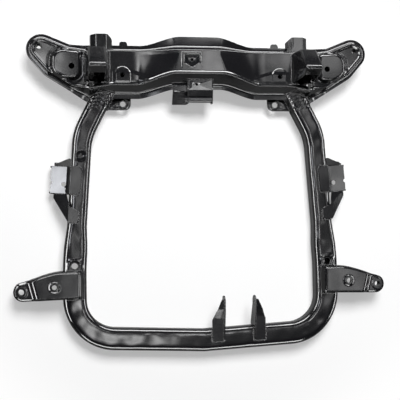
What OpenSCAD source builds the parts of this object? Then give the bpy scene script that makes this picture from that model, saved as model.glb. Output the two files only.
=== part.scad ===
// Front subframe: a bent tube and a pressed crossmember with welded brackets.
// X runs across, Y points to the crossmember, Z is up and the lowest faces lie at zero.

/* [Sheet] */
// Sheet thickness of the pressed shells
shell_t = 2.5; // [2:0.1:3.5]
// Sheet thickness of the folded brackets
bracket_t = 3; // [2:0.1:4]
// Gap at a welded seat
seat_gap = 0.3; // [0.2:0.05:0.5]

/* [Bent tube] */
// Height of the tube
tube_h = 56; // [50:1:62]
// Width of the tube at the front
tube_w_front = 57; // [50:1:62]
// Width of the tube under the outriggers
tube_w_lobe = 60; // [54:1:66]
// Width of the tube along the sides
tube_w_side = 50; // [44:1:54]
// Width of the tube where it enters the crossmember
tube_w_rear = 52; // [44:1:56]
// Corner radius of the tube's section
tube_edge_r = 15; // [10:1:20]
// Wall of the tube
tube_wall = 2.5; // [2:0.1:3.5]
// Half distance between the tube's sides at the outriggers
side_x = 333; // [320:1:400]
// Half distance between the tube's sides at the waist
waist_x = 310; // [295:1:315]
// Waist bend behind the origin
waist_y = 155; // [140:1:170]
// Angle of the rear ends to the side
end_angle = 27; // [24:1:30]
// Rear ends of the tube behind the origin
tube_end_y = 287; // [280:1:292]
// Front of the tube's centreline ahead of the origin
front_reach = 383.5; // [370:0.5:460]
// How far the front stands ahead of its corners
front_bow = 16; // [0:1:24]
// Bend radius of the front corners
corner_r = 105; // [90:1:115]
// Bend radius at the waist
waist_r = 150; // [100:5:180]
// Bolt holes through the tube's sides, ahead of the origin
tube_hole_y = 184; // [176:1:190]
// Bore of the sleeves through the tube
tube_hole_d = 17; // [14:0.5:18]
// Dished mouth of those sleeves
tube_dish_d = 30; // [28:1:32]

/* [Crossmember] */
// Front edge of the beam behind the origin
beam_front = 249; // [244:1:254]
// Rear edge of the beam behind the origin
beam_rear = 388; // [384:1:392]
// Height of the beam's flat top
beam_top = 80; // [76:1:96]
// Height of the flanges between the two shells
flange_z = 45; // [42:1:48]
// Width of the welded flange along the front
flange_w = 14; // [12:0.5:15]
// Width of the welded flange along the rear
rear_flange_w = 12; // [10:0.5:14]
// Half-width of the flat middle
middle_w = 64; // [56:1:70]
// Length of the ramp on either side of the middle
middle_ramp = 88; // [70:1:100]
// Sideways shift of the middle
middle_shift = -8; // [-12:1:0]
// Rise of the middle's top
middle_rise = 20; // [10:1:26]
// Rise of the floor under the middle
floor_rise = 22; // [10:1:26]
// Rise of the flanges at the middle
seam_rise = 18; // [8:1:22]
// How far the front edge stands back at the middle
front_setback = 23; // [16:1:26]
// How far the rear flange reaches out at the middle
rear_pad = 22; // [16:1:23]
// Half-width of that wide part of the rear flange
rear_pad_w = 53; // [46:1:60]
// Height of the bead along the front of the top
bead_h = 2; // [1:0.5:3]
// Height of the square pad round the shield-shaped recess
shield_pad_h = 2; // [1:0.5:3]

/* [Wings] */
// Half-spacing of the wing tips' centres
wing_tip_x = 412; // [400:1:440]
// Wing tips' centres behind the origin
wing_tip_y = 373; // [365:1:376]
// Radius of the wing tips
wing_tip_r = 39; // [36:1:42]
// Offset of the body-mount hole from the tip's centre
wing_hole_offset = 6; // [0:1:7]
// Body-mount hole in the wing tips
wing_hole_d = 14; // [12:0.5:16]
// Height of the flange round the wings
wing_flange_z = 56; // [52:1:58]
// Height of the ridge round the wings
wing_ridge_z = 73; // [70:1:76]
// Height of the sunk land
wing_land_z = 67; // [64:1:69]
// Depth of the wing tips below their flange
wing_depth = 18; // [14:1:24]
// Centres of the raised round pads, half-spacing
pad_x = 350; // [346:1:354]
// Centres of the raised round pads behind the origin
pad_y = 337; // [334:1:340]
// Half-width of a pad's flat top
pad_r = 30; // [28:1:32]
// Height of the pads' top
pad_z = 84; // [80:1:90]
// Run of the slope round a pad
pad_slope = 9; // [6:0.5:10]
// Bolt hole in the pads, half-spacing
pad_hole_x = 336; // [335:1:340]
// Bolt hole in the pads behind the origin
pad_hole_y = 326; // [325:1:331]
// Diameter of the pads' bolt hole
pad_hole_d = 15; // [12:0.5:16]

/* [Steering bosses] */
// Half-spacing of the steering rack bosses
boss_x = 207; // [200:1:212]
// Steering rack bosses behind the origin
boss_y = 304; // [300:1:308]
// Radius of a boss
boss_r = 22; // [18:1:23]
// Height of a boss above the beam
boss_h = 4.5; // [3:0.5:6]
// Height of the platform round a boss
platform_h = 2.5; // [1:0.5:2.5]
// Bolt hole in a boss
boss_hole_d = 13; // [11:0.5:14]

/* [Towers] */
// Half-spacing of the towers
tower_x = 273; // [268:1:274]
// Width of a tower's foot
tower_foot_w = 64; // [56:1:66]
// Width of a tower's top
tower_top_w = 45; // [36:1:48]
// Height of a tower's peak
tower_peak_z = 185; // [170:1:222]
// Height of a tower's rear edge
tower_rear_z = 130; // [115:1:140]
// Lower edge of a tower's front lip
tower_lip_z = 158; // [145:1:162]
// Edge radius of a tower
tower_edge_r = 5; // [4:0.5:7]
// Service hole in front of a tower's foot, half-spacing
foot_hole_x = 265; // [262:1:268]
// Diameter of that hole
foot_hole_d = 12; // [8:0.5:13]

/* [Outriggers] */
// Front body-mount holes outside the line of the tube's side
mount_out = 134; // [125:1:165]
// Front body-mount holes ahead of the origin
mount_y = 246; // [242:1:250]
// Radius of an outrigger's tip
mount_tip_r = 25; // [22:1:28]
// Bore of the front body mounts
mount_hole_d = 15; // [12:0.5:16]
// Height of an outrigger's top
arm_top_z = 76; // [70:1:84]
// Height of an outrigger's tip
arm_tip_z = 65; // [62:1:68]
// Lower edge of an outrigger's rolled sides
arm_skirt_z = 40; // [34:1:44]
// Width of an outrigger at the tube
arm_w = 72; // [66:1:76]
// Access hole in an outrigger outside the line of the tube's side
arm_hole_out = 51; // [46:1:56]
// Diameter of that hole
arm_hole_d = 12; // [9:0.5:14]

/* [Control arm brackets] */
// Centre of an arm bracket behind the origin
pivot_y = 35; // [28:1:42]
// Clear width between a bracket's walls
pivot_gap = 62; // [52:1:66]
// Wall thickness of an arm bracket
pivot_wall = 4; // [3:0.5:5]
// Pivot bolt outside the tube's side
pivot_out = 31; // [28:1:36]
// Height of the pivot bolt
pivot_z = 22; // [20:1:26]
// Bolt hole for the pivot
pivot_d = 13; // [11:0.5:15]
// Height of an arm bracket's roof
pivot_roof_z = 46; // [44:1:50]

/* [Engine mounts] */
// Inner face of the left front ear
ear_x = 51; // [45:1:57]
// Clear width between the front ears
ear_gap = 78; // [66:1:90]
// Front mount bolt behind the tube's front centreline
ear_reach = 96; // [88:1:104]
// Height of the front mount bolt
ear_bolt_z = 66; // [64:1:70]
// Bolt hole in the front ears
ear_d = 13; // [11:0.5:15]
// Left end of the centre bracket
cradle_left = -76; // [-80:1:-72]
// Right end of the centre bracket
cradle_right = 28; // [24:1:34]
// Inner face of the centre bracket's left wall
cradle_wall = -36; // [-40:1:-32]
// Height of the centre bracket's ledge
cradle_z = 84; // [82:1:88]
// Height of the centre bracket's cross tube
spacer_z = 66; // [65:1:70]
// Diameter of the centre bracket's cross tube
spacer_d = 18; // [14:1:20]

/* [Hidden] */
$fn = 48;

left = -1;
right = 1;
paint = [0.09, 0.09, 0.1];
zinc = [0.35, 0.35, 0.37];
// Overshoot of a cutting solid past the face it cuts
past = 1;

// Heights and slopes that several pieces share
tube_rise = shell_t + seat_gap;
tube_top = tube_h;
tube_seat_z = tube_h + seat_gap;
rear_end_y = wing_tip_y + wing_tip_r;
side_angle = atan((side_x - waist_x) / (waist_y + tube_hole_y));
tube_rear_x = waist_x - (tube_end_y - waist_y) * tan(end_angle);
corner_y = front_reach - front_bow;
mount_x = side_x + mount_out;
arm_hole_x = side_x + arm_hole_out;
flange_top = flange_z + shell_t + seat_gap;

// General curves
function ramp(a, b, v) = let (t = min(1, max(0, (v - a) / (b - a)))) t * t * (3 - 2 * t);
function mix(a, b, t) = a + (b - a) * t;
// Straight slope with eased ends
function slope(a, b, v) = mix(min(1, max(0, (v - a) / (b - a))), ramp(a, b, v), 0.4);
function unit(v) = v / norm(v);
function turn(v, a) = [v.x * cos(a) - v.y * sin(a), v.x * sin(a) + v.y * cos(a)];

// Arc that rounds the corner b between a and c
function corner_arc(a, b, c, r, step) =
  let (
    u = unit(a - b),
    v = unit(c - b),
    half = acos(u * v) / 2,
    middle = b + unit(u + v) * r / sin(half),
    start = b + u * r / tan(half) - middle,
    swing = (180 - 2 * half) * (cross(u, v) > 0 ? -1 : 1),
    n = max(1, ceil(abs(swing) / step))
  )
  [for (i = [0:n]) middle + turn(start, swing * i / n)];

function rounded_path(p, radii, step = 10) = [
  for (i = [0:len(p) - 1])
    each (radii[i] == 0 ? [p[i]] : corner_arc(p[i - 1], p[i], p[i + 1], radii[i], step))
];

function rounded_loop(p, radii, step = 15) =
  let (n = len(p))
  [
    for (i = [0:n - 1])
      each (radii[i] == 0 ? [p[i]]
        : corner_arc(p[(i + n - 1) % n], p[i], p[(i + 1) % n], radii[i], step))
  ];

function split(p, longest) = concat(
  [
    for (i = [0:len(p) - 2])
      let (n = ceil(norm(p[i + 1] - p[i]) / longest))
        for (k = [0:n - 1]) mix(p[i], p[i + 1], k / n)
  ],
  [p[len(p) - 1]]
);

// Triangles of lofted surfaces
function evened(p) = len(p) % 2 == 0 ? p : concat(p, [(p[0] + p[len(p) - 1]) / 2]);

function quad(a, b, c, d) = [[a, c, b], [a, d, c]];

function skin(rings, m, base, inside = false) = [
  for (i = [0:rings - 2], j = [0:m - 1])
    let (a = base + i * m + j, b = base + i * m + (j + 1) % m)
      each (inside ? quad(a, a + m, b + m, b) : quad(a, b, b + m, a + m))
];

function flatten(rings) = [for (ring = rings, point = ring) point];

// Closed pipe between outer and inner rings
module pipe(outer, inner) {
  m = len(outer[0]);
  n = len(outer);
  shift = n * m;
  last = (n - 1) * m;
  ends = [
    for (j = [0:m - 1])
      let (k = (j + 1) % m)
        each concat(
          quad(j, j + shift, k + shift, k),
          quad(j + last, k + last, k + last + shift, j + last + shift)
        )
  ];
  polyhedron(
    points = concat(flatten(outer), flatten(inner)),
    faces = concat(skin(n, m, 0), skin(n, m, shift, true), ends)
  );
}

// Underside of a sheet whose upper side runs through the profile [distance, height]
function offset_profile(p, t) =
  let (
    last = len(p) - 1,
    side = concat(
      [for (k = [0:last - 1]) let (s = unit(p[k + 1] - p[k])) [s.y, -s.x]],
      [[0, -1]]
    )
  )
  [
    for (k = [0:last])
      let (a = side[max(0, k - 1)], b = side[k])
        k == 0 ? p[0] + t * side[0] : p[k] + t * (a + b) / (1 + a * b)
  ];

function inward(outline) =
  let (n = len(outline))
  [
    for (i = [0:n - 1])
      turn(unit(unit(outline[(i + 1) % n] - outline[i])
        + unit(outline[i] - outline[(i + n - 1) % n])), 90)
  ];

// Pressed sheet: a closed outline, with a profile running inwards at each of its points.
// The first half of the outline faces the second half, and the middle spans between them.
module pressed(outline, profiles, t) {
  m = len(outline);
  levels = len(profiles[0]);
  shift = levels * m;
  rim = (levels - 1) * m;
  normals = inward(outline);
  under = [for (p = profiles) offset_profile(p, t)];
  function ring(set, k) = [
    for (i = [0:m - 1])
      let (flat = outline[i] + normals[i] * set[i][k].x) [flat.x, flat.y, set[i][k].y]
  ];
  middle = [
    for (i = [0:m / 2 - 2])
      let (a = rim + i, b = rim + m - 1 - i)
        each concat(quad(a, a + 1, b - 1, b), quad(a + shift, b + shift, b - 1 + shift, a + 1 + shift))
  ];
  edge = [
    for (i = [0:m - 1])
      let (j = (i + 1) % m)
        each quad(i, i + shift, j + shift, j)
  ];
  polyhedron(
    points = concat(
      flatten([for (k = [0:levels - 1]) ring(profiles, k)]),
      flatten([for (k = [0:levels - 1]) ring(under, k)])
    ),
    faces = concat(skin(levels, m, 0), skin(levels, m, shift, true), middle, edge)
  );
}

// Strip of constant thickness t below a line of points
function strip(p, t) =
  let (
    last = len(p) - 1,
    side = [for (k = [0:last - 1]) let (s = unit(p[k + 1] - p[k])) [s.y, -s.x]],
    under = [
      for (k = [last:-1:0])
        let (a = side[max(0, k - 1)], b = side[min(last - 1, k)])
          p[k] + t * (a + b) / (1 + a * b)
    ]
  )
  concat(p, under);

module on_side(side) {
  if (side == left) mirror([1, 0, 0]) children();
  else children();
}

// Extrusion along Y of an outline drawn in X and Z
module along_y(from, to) {
  translate([0, to, 0]) rotate([90, 0, 0]) linear_extrude(to - from) children();
}

// Extrusion along X of an outline drawn in Y and Z
module along_x(from, to) {
  translate([from, 0, 0]) rotate([90, 0, 90]) linear_extrude(to - from) children();
}

module upright_hole(x, y, d, from, to) {
  translate([x, y, from]) cylinder(d = d, h = to - from);
}

module sleeve(x, y, bore, wall, from, to) {
  difference() {
    upright_hole(x, y, bore + 2 * wall, from, to);
    upright_hole(x, y, bore, from - past, to + past);
  }
}

module hex_nut(flats, bore, h) {
  difference() {
    cylinder(d = flats / cos(30), h = h, $fn = 6);
    translate([0, 0, -past]) cylinder(d = bore, h = h + 2 * past);
  }
}

// Bent tube

tube_step = 45;
edge_steps = 4;

function tube_width(y) = tube_w_front
  + (tube_w_lobe - tube_w_front) * ramp(-corner_y + 40, -corner_y + corner_r, y)
  - (tube_w_lobe - tube_w_side) * ramp(-tube_hole_y + 35, -tube_hole_y + 115, y)
  + (tube_w_rear - tube_w_side) * ramp(waist_y - 40, waist_y, y);

function tube_middle_z(y) = tube_h / 2 + tube_rise * ramp(waist_y - 50, waist_y + 30, y);

function section(w, h, r) = [
  for (q = [0:3], k = [0:edge_steps])
    let (
      a = q * 90 + k * 90 / edge_steps,
      x = (q == 0 || q == 3 ? 1 : -1) * (w / 2 - r),
      z = (q < 2 ? 1 : -1) * (h / 2 - r)
    )
    [x + r * cos(a), z + r * sin(a)]
];

tube_half = split(
  rounded_path(
    [[tube_rear_x, tube_end_y], [waist_x, waist_y], [side_x, -tube_hole_y], [side_x, -corner_y],
      [0, -front_reach]],
    [0, waist_r, 4 * corner_r, corner_r, 0]
  ),
  tube_step
);
tube_path = concat(
  tube_half,
  [for (i = [len(tube_half) - 2:-1:0]) [-tube_half[i].x, tube_half[i].y]]
);

function tube_ring(i, inset) =
  let (
    p = tube_path[i],
    ahead = tube_path[min(len(tube_path) - 1, i + 1)] - tube_path[max(0, i - 1)],
    across = turn(unit(ahead), 90),
    outline = section(tube_width(p.y) - 2 * inset, tube_h - 2 * inset, tube_edge_r - inset)
  )
  [for (s = outline) [p.x + across.x * s.x, p.y + across.y * s.x, tube_middle_z(p.y) + s.y]];

module bent_tube() {
  count = len(tube_path);
  color(paint)
  difference() {
    pipe(
      [for (i = [0:count - 1]) tube_ring(i, 0)],
      [for (i = [0:count - 1]) tube_ring(i, tube_wall)]
    );
    for (side = [left, right])
      upright_hole(side * side_x, -tube_hole_y, tube_dish_d + 2 * seat_gap, -past, tube_top + past);
  }
}

// Clear way for a rear end of the tube through the crossmember
module tube_passage(side) {
  reach = 100;
  on_side(side)
  translate([tube_rear_x, tube_end_y, tube_h / 2 + tube_rise])
  rotate([0, 0, end_angle])
  along_y(-reach, past)
  polygon(section(tube_w_rear + 2 * seat_gap, tube_h + 2 * seat_gap, tube_edge_r + seat_gap));
}

module tube_sleeve(side) {
  color(paint)
  on_side(side)
  translate([side_x, -tube_hole_y, 0])
  rotate_extrude()
  polygon([
    [tube_hole_d / 2, 0], [tube_dish_d / 2, 0], [tube_dish_d / 2, tube_top],
    [tube_dish_d / 2 - 1, tube_top], [tube_hole_d / 2, tube_top - 7]
  ]);
}

// Crossmember

wing_root = [waist_x - 15, beam_front - 11];
wing_knee = [wing_tip_x - 7, wing_tip_y - 67];
wing_shoulder = [wing_tip_x - 71, beam_rear - 2];
wing_hole = [wing_tip_x + wing_hole_offset, wing_tip_y + wing_hole_offset];
tip_front_angle = -45;
tip_rear_angle = 112;
tip_meet_angle = 33;
tip_meet_gap = 4;
tip_steps = 7;
wing_flange_w = 9;
wing_wall_run = 4;
wing_crest_w = 5;
wing_drop_run = 5;
bead_w = 3;
beam_wall_run = 16;
rear_wall_run = 8;
middle_wall_run = 7;
rear_pad_flange = 14;
floor_wall_run = 10;
wing_floor_z = wing_flange_z - wing_depth;

function in_middle(x) = 1 - slope(middle_w, middle_w + middle_ramp, abs(x - middle_shift));
function in_rear_pad(x) = 1 - slope(rear_pad_w, rear_pad_w + middle_ramp, abs(x - middle_shift));
function in_wing(x) = ramp(tower_x + 29, wing_tip_x - 66, abs(x));
function in_bead(x) = 1 - ramp(tower_x - 10, tower_x + 20, abs(x));
function front_y(x) = beam_front + front_setback * in_middle(x);
function rear_y(x) = beam_rear + rear_pad * in_rear_pad(x);
function seam_z(x) = mix(flange_z + seam_rise * in_middle(x), wing_flange_z, in_wing(x));
function top_z(x, wing_z) =
  mix(beam_top + middle_rise * in_middle(x), wing_z, ramp(tower_x + 33, tower_x + 45, abs(x)));
function floor_z(x) =
  mix(shell_t + floor_rise * in_middle(x), wing_floor_z, ramp(pad_x + 30, wing_tip_x + 8, abs(x)));

function tip_point(a) = [wing_tip_x + wing_tip_r * cos(a), wing_tip_y + wing_tip_r * sin(a)];

beam_stations = [0, 34, 45, 60, 76, 92, 108, 124, 140, 156, 180, 206, 232];
front_half = concat(
  [for (x = beam_stations) if (x > 0) [x, front_y(x)]],
  [mix([232, beam_front], wing_root, 0.5), wing_root],
  [for (k = [0.36, 0.74, 1]) mix(wing_root, wing_knee, k)],
  [
    for (k = [0:tip_steps])
      tip_point(mix(tip_front_angle, tip_meet_angle - tip_meet_gap, k / tip_steps))
  ]
);
rear_half = concat(
  [for (x = beam_stations) if (x > 0) [x, rear_y(x)]],
  [
    for (k = [1:5])
      mix([232, beam_rear], wing_shoulder, k / 5)
  ],
  [
    for (k = [0:tip_steps])
      tip_point(mix(tip_rear_angle, tip_meet_angle + tip_meet_gap, k / tip_steps))
  ]
);
left_front = [for (p = front_half) [-p.x, p.x > 232 ? p.y : front_y(-p.x)]];
left_rear = [for (p = rear_half) [-p.x, p.x > 232 ? p.y : rear_y(-p.x)]];
function backwards(p) = [for (i = [len(p) - 1:-1:0]) p[i]];
shell_front = concat(backwards(left_front), [[0, front_y(0)]], front_half);
shell_rear = concat(backwards(rear_half), [[0, rear_y(0)]], left_rear);
shell_outline = concat(shell_front, shell_rear);

function shell_flange(x, rear) = mix(
  rear ? rear_flange_w + rear_pad_flange * in_rear_pad(x) : flange_w - 2 * in_middle(x),
  wing_flange_w,
  in_wing(x)
);

function upper_profile(x, rear) =
  let (
    seam = seam_z(x) + shell_t + seat_gap,
    flange = shell_flange(x, rear),
    run = (rear ? rear_wall_run : beam_wall_run) + middle_wall_run * in_middle(x),
    foot = flange + mix(run, wing_wall_run, in_wing(x)),
    bead = rear ? 0 : in_bead(x),
    crest = top_z(x, wing_ridge_z) + bead_h * bead,
    crest_w = mix(wing_crest_w, bead_w, bead),
    drop = mix(wing_drop_run, bead_w, bead)
  )
  [
    [0, seam], [flange, seam], [foot, crest], [foot + crest_w, crest],
    [foot + crest_w + drop, top_z(x, wing_land_z)]
  ];

function lower_profile(x, rear) =
  let (flange = shell_flange(x, rear))
  [[0, seam_z(x)], [flange, seam_z(x)], [flange + floor_wall_run, floor_z(x)]];

function profiles(kind) = [
  for (i = [0:len(shell_outline) - 1])
    let (x = shell_outline[i].x, rear = i >= len(shell_front))
      kind == "upper" ? upper_profile(x, rear) : lower_profile(x, rear)
];

recess_depth = 5;
recess_hole_d = 8;
recess_x = middle_shift - 20;
recess_rear = beam_rear - 28;
recess_front = beam_rear - 68;

module recess_outline(grow) {
  w = 23 + grow;
  polygon(rounded_loop(
    [
      [recess_x - w, recess_rear + grow], [recess_x - w, recess_front + 14],
      [recess_x, recess_front - grow], [recess_x + w, recess_front + 14],
      [recess_x + w, recess_rear + grow]
    ],
    [6, 14, 10, 14, 6]
  ));
}

module shield_pad_outline() {
  rear = recess_rear + 4;
  front = recess_front - 6;
  polygon(rounded_loop(
    [[recess_x - 30, rear], [recess_x - 30, front], [recess_x + 26, front], [recess_x + 26, rear]],
    [5, 5, 5, 5]
  ));
}

module platform_outline() {
  front = beam_front + flange_w + beam_wall_run + 2;
  polygon(rounded_loop(
    [
      [boss_x + 26, front], [boss_x + 26, front + 38], [boss_x - 24, front + 38],
      [boss_x - 64, front + 26], [boss_x - 74, front + 11], [boss_x - 56, front]
    ],
    [4, 8, 20, 10, 6, 10]
  ));
}

module boss_outline() {
  translate([boss_x, boss_y + 2]) circle(r = boss_r);
  translate([boss_x - boss_r, boss_y - boss_r + 2]) square([2 * boss_r, boss_r]);
}

// Foot of a raised pad, straight on the side of the tower
pad_grow = pad_slope + 2 * shell_t;
pad_foot = evened(rounded_loop(
  [for (c = [[-1, -1.2], [0.15, -1.2], [1.08, -0.5], [1, 1], [-1, 0.8]])
    [pad_x, pad_y] + pad_r * c + pad_grow * [sign(c.x), sign(c.y)]],
  [22, 44, 30, 34, 16]
));

module pad_cup() {
  pressed(
    pad_foot,
    [for (p = pad_foot) [[0, wing_land_z - 2 * shell_t], [pad_grow - 2, pad_z - 2.5], [pad_grow + 2, pad_z]]],
    shell_t
  );
}

// Hole in the wing's land that a raised pad fills
module pad_gap() {
  normals = inward(pad_foot);
  translate([0, 0, wing_flange_z - past])
  linear_extrude(pad_z - wing_flange_z)
  polygon([for (i = [0:len(pad_foot) - 1]) pad_foot[i] + normals[i] * (2 * shell_t)]);
}

module crossmember_upper_shell() {
  middle_top = beam_top + middle_rise;
  recess_floor = middle_top + shield_pad_h - recess_depth;
  color(paint)
  difference() {
    union() {
      difference() {
        pressed(shell_outline, profiles("upper"), shell_t);
        for (side = [left, right]) on_side(side) pad_gap();
      }
      for (side = [left, right]) on_side(side) {
        pad_cup();
        translate([0, 0, beam_top - shell_t / 2])
        linear_extrude(boss_h + shell_t / 2) boss_outline();
        translate([0, 0, beam_top - shell_t / 2])
        linear_extrude(platform_h + shell_t / 2) platform_outline();
      }
      translate([0, 0, middle_top - shell_t / 2])
      linear_extrude(shield_pad_h + shell_t / 2) shield_pad_outline();
      translate([0, 0, recess_floor - shell_t])
      linear_extrude(recess_depth) recess_outline(shell_t);
    }
    translate([0, 0, recess_floor])
    linear_extrude(2 * recess_depth) recess_outline(0);
    upright_hole(recess_x, recess_rear - 16, recess_hole_d, beam_top, middle_top);
    for (side = [left, right]) on_side(side) {
      upright_hole(wing_hole.x, wing_hole.y, wing_hole_d, wing_flange_z, wing_ridge_z + past);
      upright_hole(pad_hole_x, pad_hole_y, pad_hole_d, wing_ridge_z, pad_z + past);
      upright_hole(boss_x, boss_y, boss_hole_d, beam_top - 10, beam_top + boss_h + past);
      upright_hole(foot_hole_x, boss_y - 14, foot_hole_d, beam_top - 10, beam_top + past);
    }
    tube_passage(left);
    tube_passage(right);
  }
}

module crossmember_lower_shell() {
  tab_w = 24;
  tab_h = 11;
  color(paint)
  difference() {
    union() {
      pressed(shell_outline, profiles("lower"), shell_t);
      for (side = [left, right])
        translate([side * (boss_x - 5), beam_rear - 4, flange_z - shell_t])
        linear_extrude(shell_t)
        polygon(rounded_loop(
          [[-tab_w / 2, 0], [tab_w / 2, 0], [tab_w / 2 - 3, tab_h + 4], [3 - tab_w / 2, tab_h + 4]],
          [0, 0, 6, 6]
        ));
    }
    for (side = [left, right]) on_side(side) {
      upright_hole(wing_hole.x, wing_hole.y, wing_hole_d, 0, wing_flange_z);
      upright_hole(pad_hole_x, pad_hole_y, pad_hole_d, -past, wing_flange_z);
    }
    tube_passage(left);
    tube_passage(right);
  }
}

module wing_sleeve(side) {
  color(zinc)
  on_side(side)
  sleeve(wing_hole.x, wing_hole.y, wing_hole_d, 4.5,
    wing_floor_z + seat_gap, wing_land_z - shell_t - seat_gap);
}

module pad_sleeve(side) {
  color(zinc)
  on_side(side)
  sleeve(pad_hole_x, pad_hole_y, pad_hole_d, 3, shell_t + seat_gap, pad_z - shell_t - seat_gap);
}

module rack_nut(side) {
  nut_h = 10;
  color(zinc)
  on_side(side)
  translate([boss_x, boss_y, beam_top - shell_t - seat_gap - nut_h])
  hex_nut(19, boss_hole_d - 2.7, nut_h);
}

// Towers

tower_front_y = boss_y - 18;
tower_lip_y = boss_y - 9;
tower_peak_y = boss_y + 8;
tower_rear_y = beam_rear - rear_flange_w - rear_wall_run;

module tower_form(r) {
  foot = tower_foot_w / 2 - tower_edge_r;
  top = tower_top_w / 2 - tower_edge_r;
  back = tower_rear_y - tower_edge_r;
  hull()
    for (side = [left, right]) {
      for (y = [tower_front_y + tower_edge_r, back])
        translate([tower_x + side * foot, y, beam_top - tower_edge_r]) sphere(r = r, $fn = 16);
      for (p = [[tower_lip_y + tower_edge_r, tower_lip_z], [tower_peak_y, tower_peak_z - tower_edge_r],
          [back, tower_rear_z - tower_edge_r]])
        translate([tower_x + side * top, p.x, p.y]) sphere(r = r, $fn = 16);
    }
}

module tower_hood(side) {
  open_w = tower_top_w - 2 * tower_edge_r;
  color(paint)
  on_side(side)
  difference() {
    tower_form(tower_edge_r);
    tower_form(tower_edge_r - shell_t);
    translate([tower_x - tower_foot_w, tower_front_y - past, 0])
    cube([2 * tower_foot_w, tower_rear_y - tower_front_y + 2 * past, beam_top + seat_gap]);
    translate([tower_x - open_w / 2, tower_front_y - past, beam_top])
    cube([open_w, tower_peak_y - tower_front_y, tower_lip_z - beam_top]);
  }
}

channel_left = tower_x - 42;
channel_right = tower_x + 16;
channel_top = beam_top - 5;

module rear_channel(side) {
  fold = 14;
  low = flange_top + seat_gap;
  wall_foot = beam_rear - rear_flange_w;
  chamfer = 12;
  color(paint)
  on_side(side)
  intersection() {
    along_y(wall_foot - rear_wall_run, rear_end_y)
    polygon(strip(
      [
        [channel_left, low], [channel_left + 2, low + 12], [channel_left + 2 + fold, channel_top],
        [channel_right - 2 - fold, channel_top], [channel_right - 2, low + 12], [channel_right, low]
      ],
      bracket_t
    ));
    along_x(channel_left - past, channel_right + past)
    polygon([
      [wall_foot + seat_gap, low], [rear_end_y, low], [rear_end_y, beam_top],
      [wall_foot - rear_wall_run + seat_gap, beam_top]
    ]);
    linear_extrude(beam_top + past)
    polygon(rounded_loop(
      [
        [channel_left - past, beam_rear - 30], [channel_right + past, beam_rear - 30],
        [channel_right + past, rear_end_y], [channel_left + chamfer, rear_end_y],
        [channel_left - past, rear_end_y - chamfer]
      ],
      [0, 0, 3, 3, 3]
    ));
  }
}

// Tie plates between the tube and the crossmember

tie_z = 30;
tie_hole = [boss_x - 3, beam_front - 12];
tie_hole_d = 15;

module tie_plate(side) {
  tie_front = beam_front - 28;
  lean = floor_wall_run / (flange_z - shell_t);
  tie_rear = beam_front + flange_w + lean * (flange_z - tie_z) - shell_t * sqrt(1 + lean * lean)
    - seat_gap;
  inner = boss_x - 24;
  across = tube_w_rear / 2 + seat_gap;
  // Point of the tube's inner flank at the depth y
  function flank(y) = tube_rear_x + (tube_end_y - y) * tan(end_angle) - across / cos(end_angle);
  color(paint)
  on_side(side)
  translate([0, 0, tie_z - bracket_t])
  difference() {
    linear_extrude(bracket_t)
    polygon(rounded_loop(
      [
        [inner, tie_rear], [inner, tie_front], [flank(tie_front), tie_front],
        [flank(tie_rear), tie_rear]
      ],
      [0, 16, 3, 0]
    ));
    upright_hole(tie_hole.x, tie_hole.y, tie_hole_d, -past, bracket_t + past);
  }
}

// Outriggers

arm_front_y = -mount_y - mount_tip_r + 4;
arm_rear_y = arm_front_y + arm_w;
arm_root_x = side_x - 22;
arm_tip = [mount_x - 4, -mount_y];
arm_step_skew = 13;
arm_step_x = arm_tip.x - 36;
arm_tip_front_angle = -90;
arm_tip_rear_angle = 67;
arm_tip_meet = -11;
arm_tip_steps = 6;
arm_roll = 7;
arm_clear_x = side_x + tube_w_lobe / 2 + seat_gap;

function arm_tip_point(a) = arm_tip + mount_tip_r * [cos(a), sin(a)];
function arm_edge_x(k) = [arm_root_x, arm_root_x + 12, arm_root_x + 30, arm_clear_x + 12,
  mix(arm_clear_x + 12, arm_step_x, 0.55), arm_step_x, arm_step_x + 9][k];
function arm_edge_z(k) = [tube_seat_z + shell_t + 0.5, mix(tube_seat_z, arm_top_z, 0.4), arm_top_z, arm_top_z,
  arm_top_z, arm_top_z, arm_tip_z][k];

arm_edges = 7;
arm_front = concat(
  [
    for (k = [0:arm_edges - 1])
      let (x = arm_edge_x(k))
        [x, mix(arm_front_y, arm_tip.y - mount_tip_r, (x - arm_root_x) / (arm_tip.x - arm_root_x))]
  ],
  [
    for (k = [0:arm_tip_steps])
      arm_tip_point(mix(arm_tip_front_angle, arm_tip_meet - 3, k / arm_tip_steps))
  ]
);
arm_shoulder = arm_tip_point(arm_tip_rear_angle);
arm_rear = concat(
  [
    for (k = [0:arm_edges - 1])
      let (
        x = arm_edge_x(k) + (k > 3 ? arm_step_skew * (k - 3) / 2 : 0),
        narrowing = ramp(arm_clear_x, arm_shoulder.x + 20, x)
      )
        [min(x, arm_shoulder.x - 8), mix(arm_rear_y, arm_shoulder.y, narrowing)]
  ],
  [
    for (k = [0:arm_tip_steps])
      arm_tip_point(mix(arm_tip_rear_angle, arm_tip_meet + 3, k / arm_tip_steps))
  ]
);
arm_outline = concat(arm_front, backwards(arm_rear));

function arm_profile(i) =
  let (
    m = len(arm_outline),
    k = min(i, m - 1 - i),
    z = k < arm_edges ? arm_edge_z(k) : arm_tip_z
  )
  [[0, arm_skirt_z], [1.5, z - 6], [3.5, z - 1.8], [arm_roll, z]];

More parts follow.
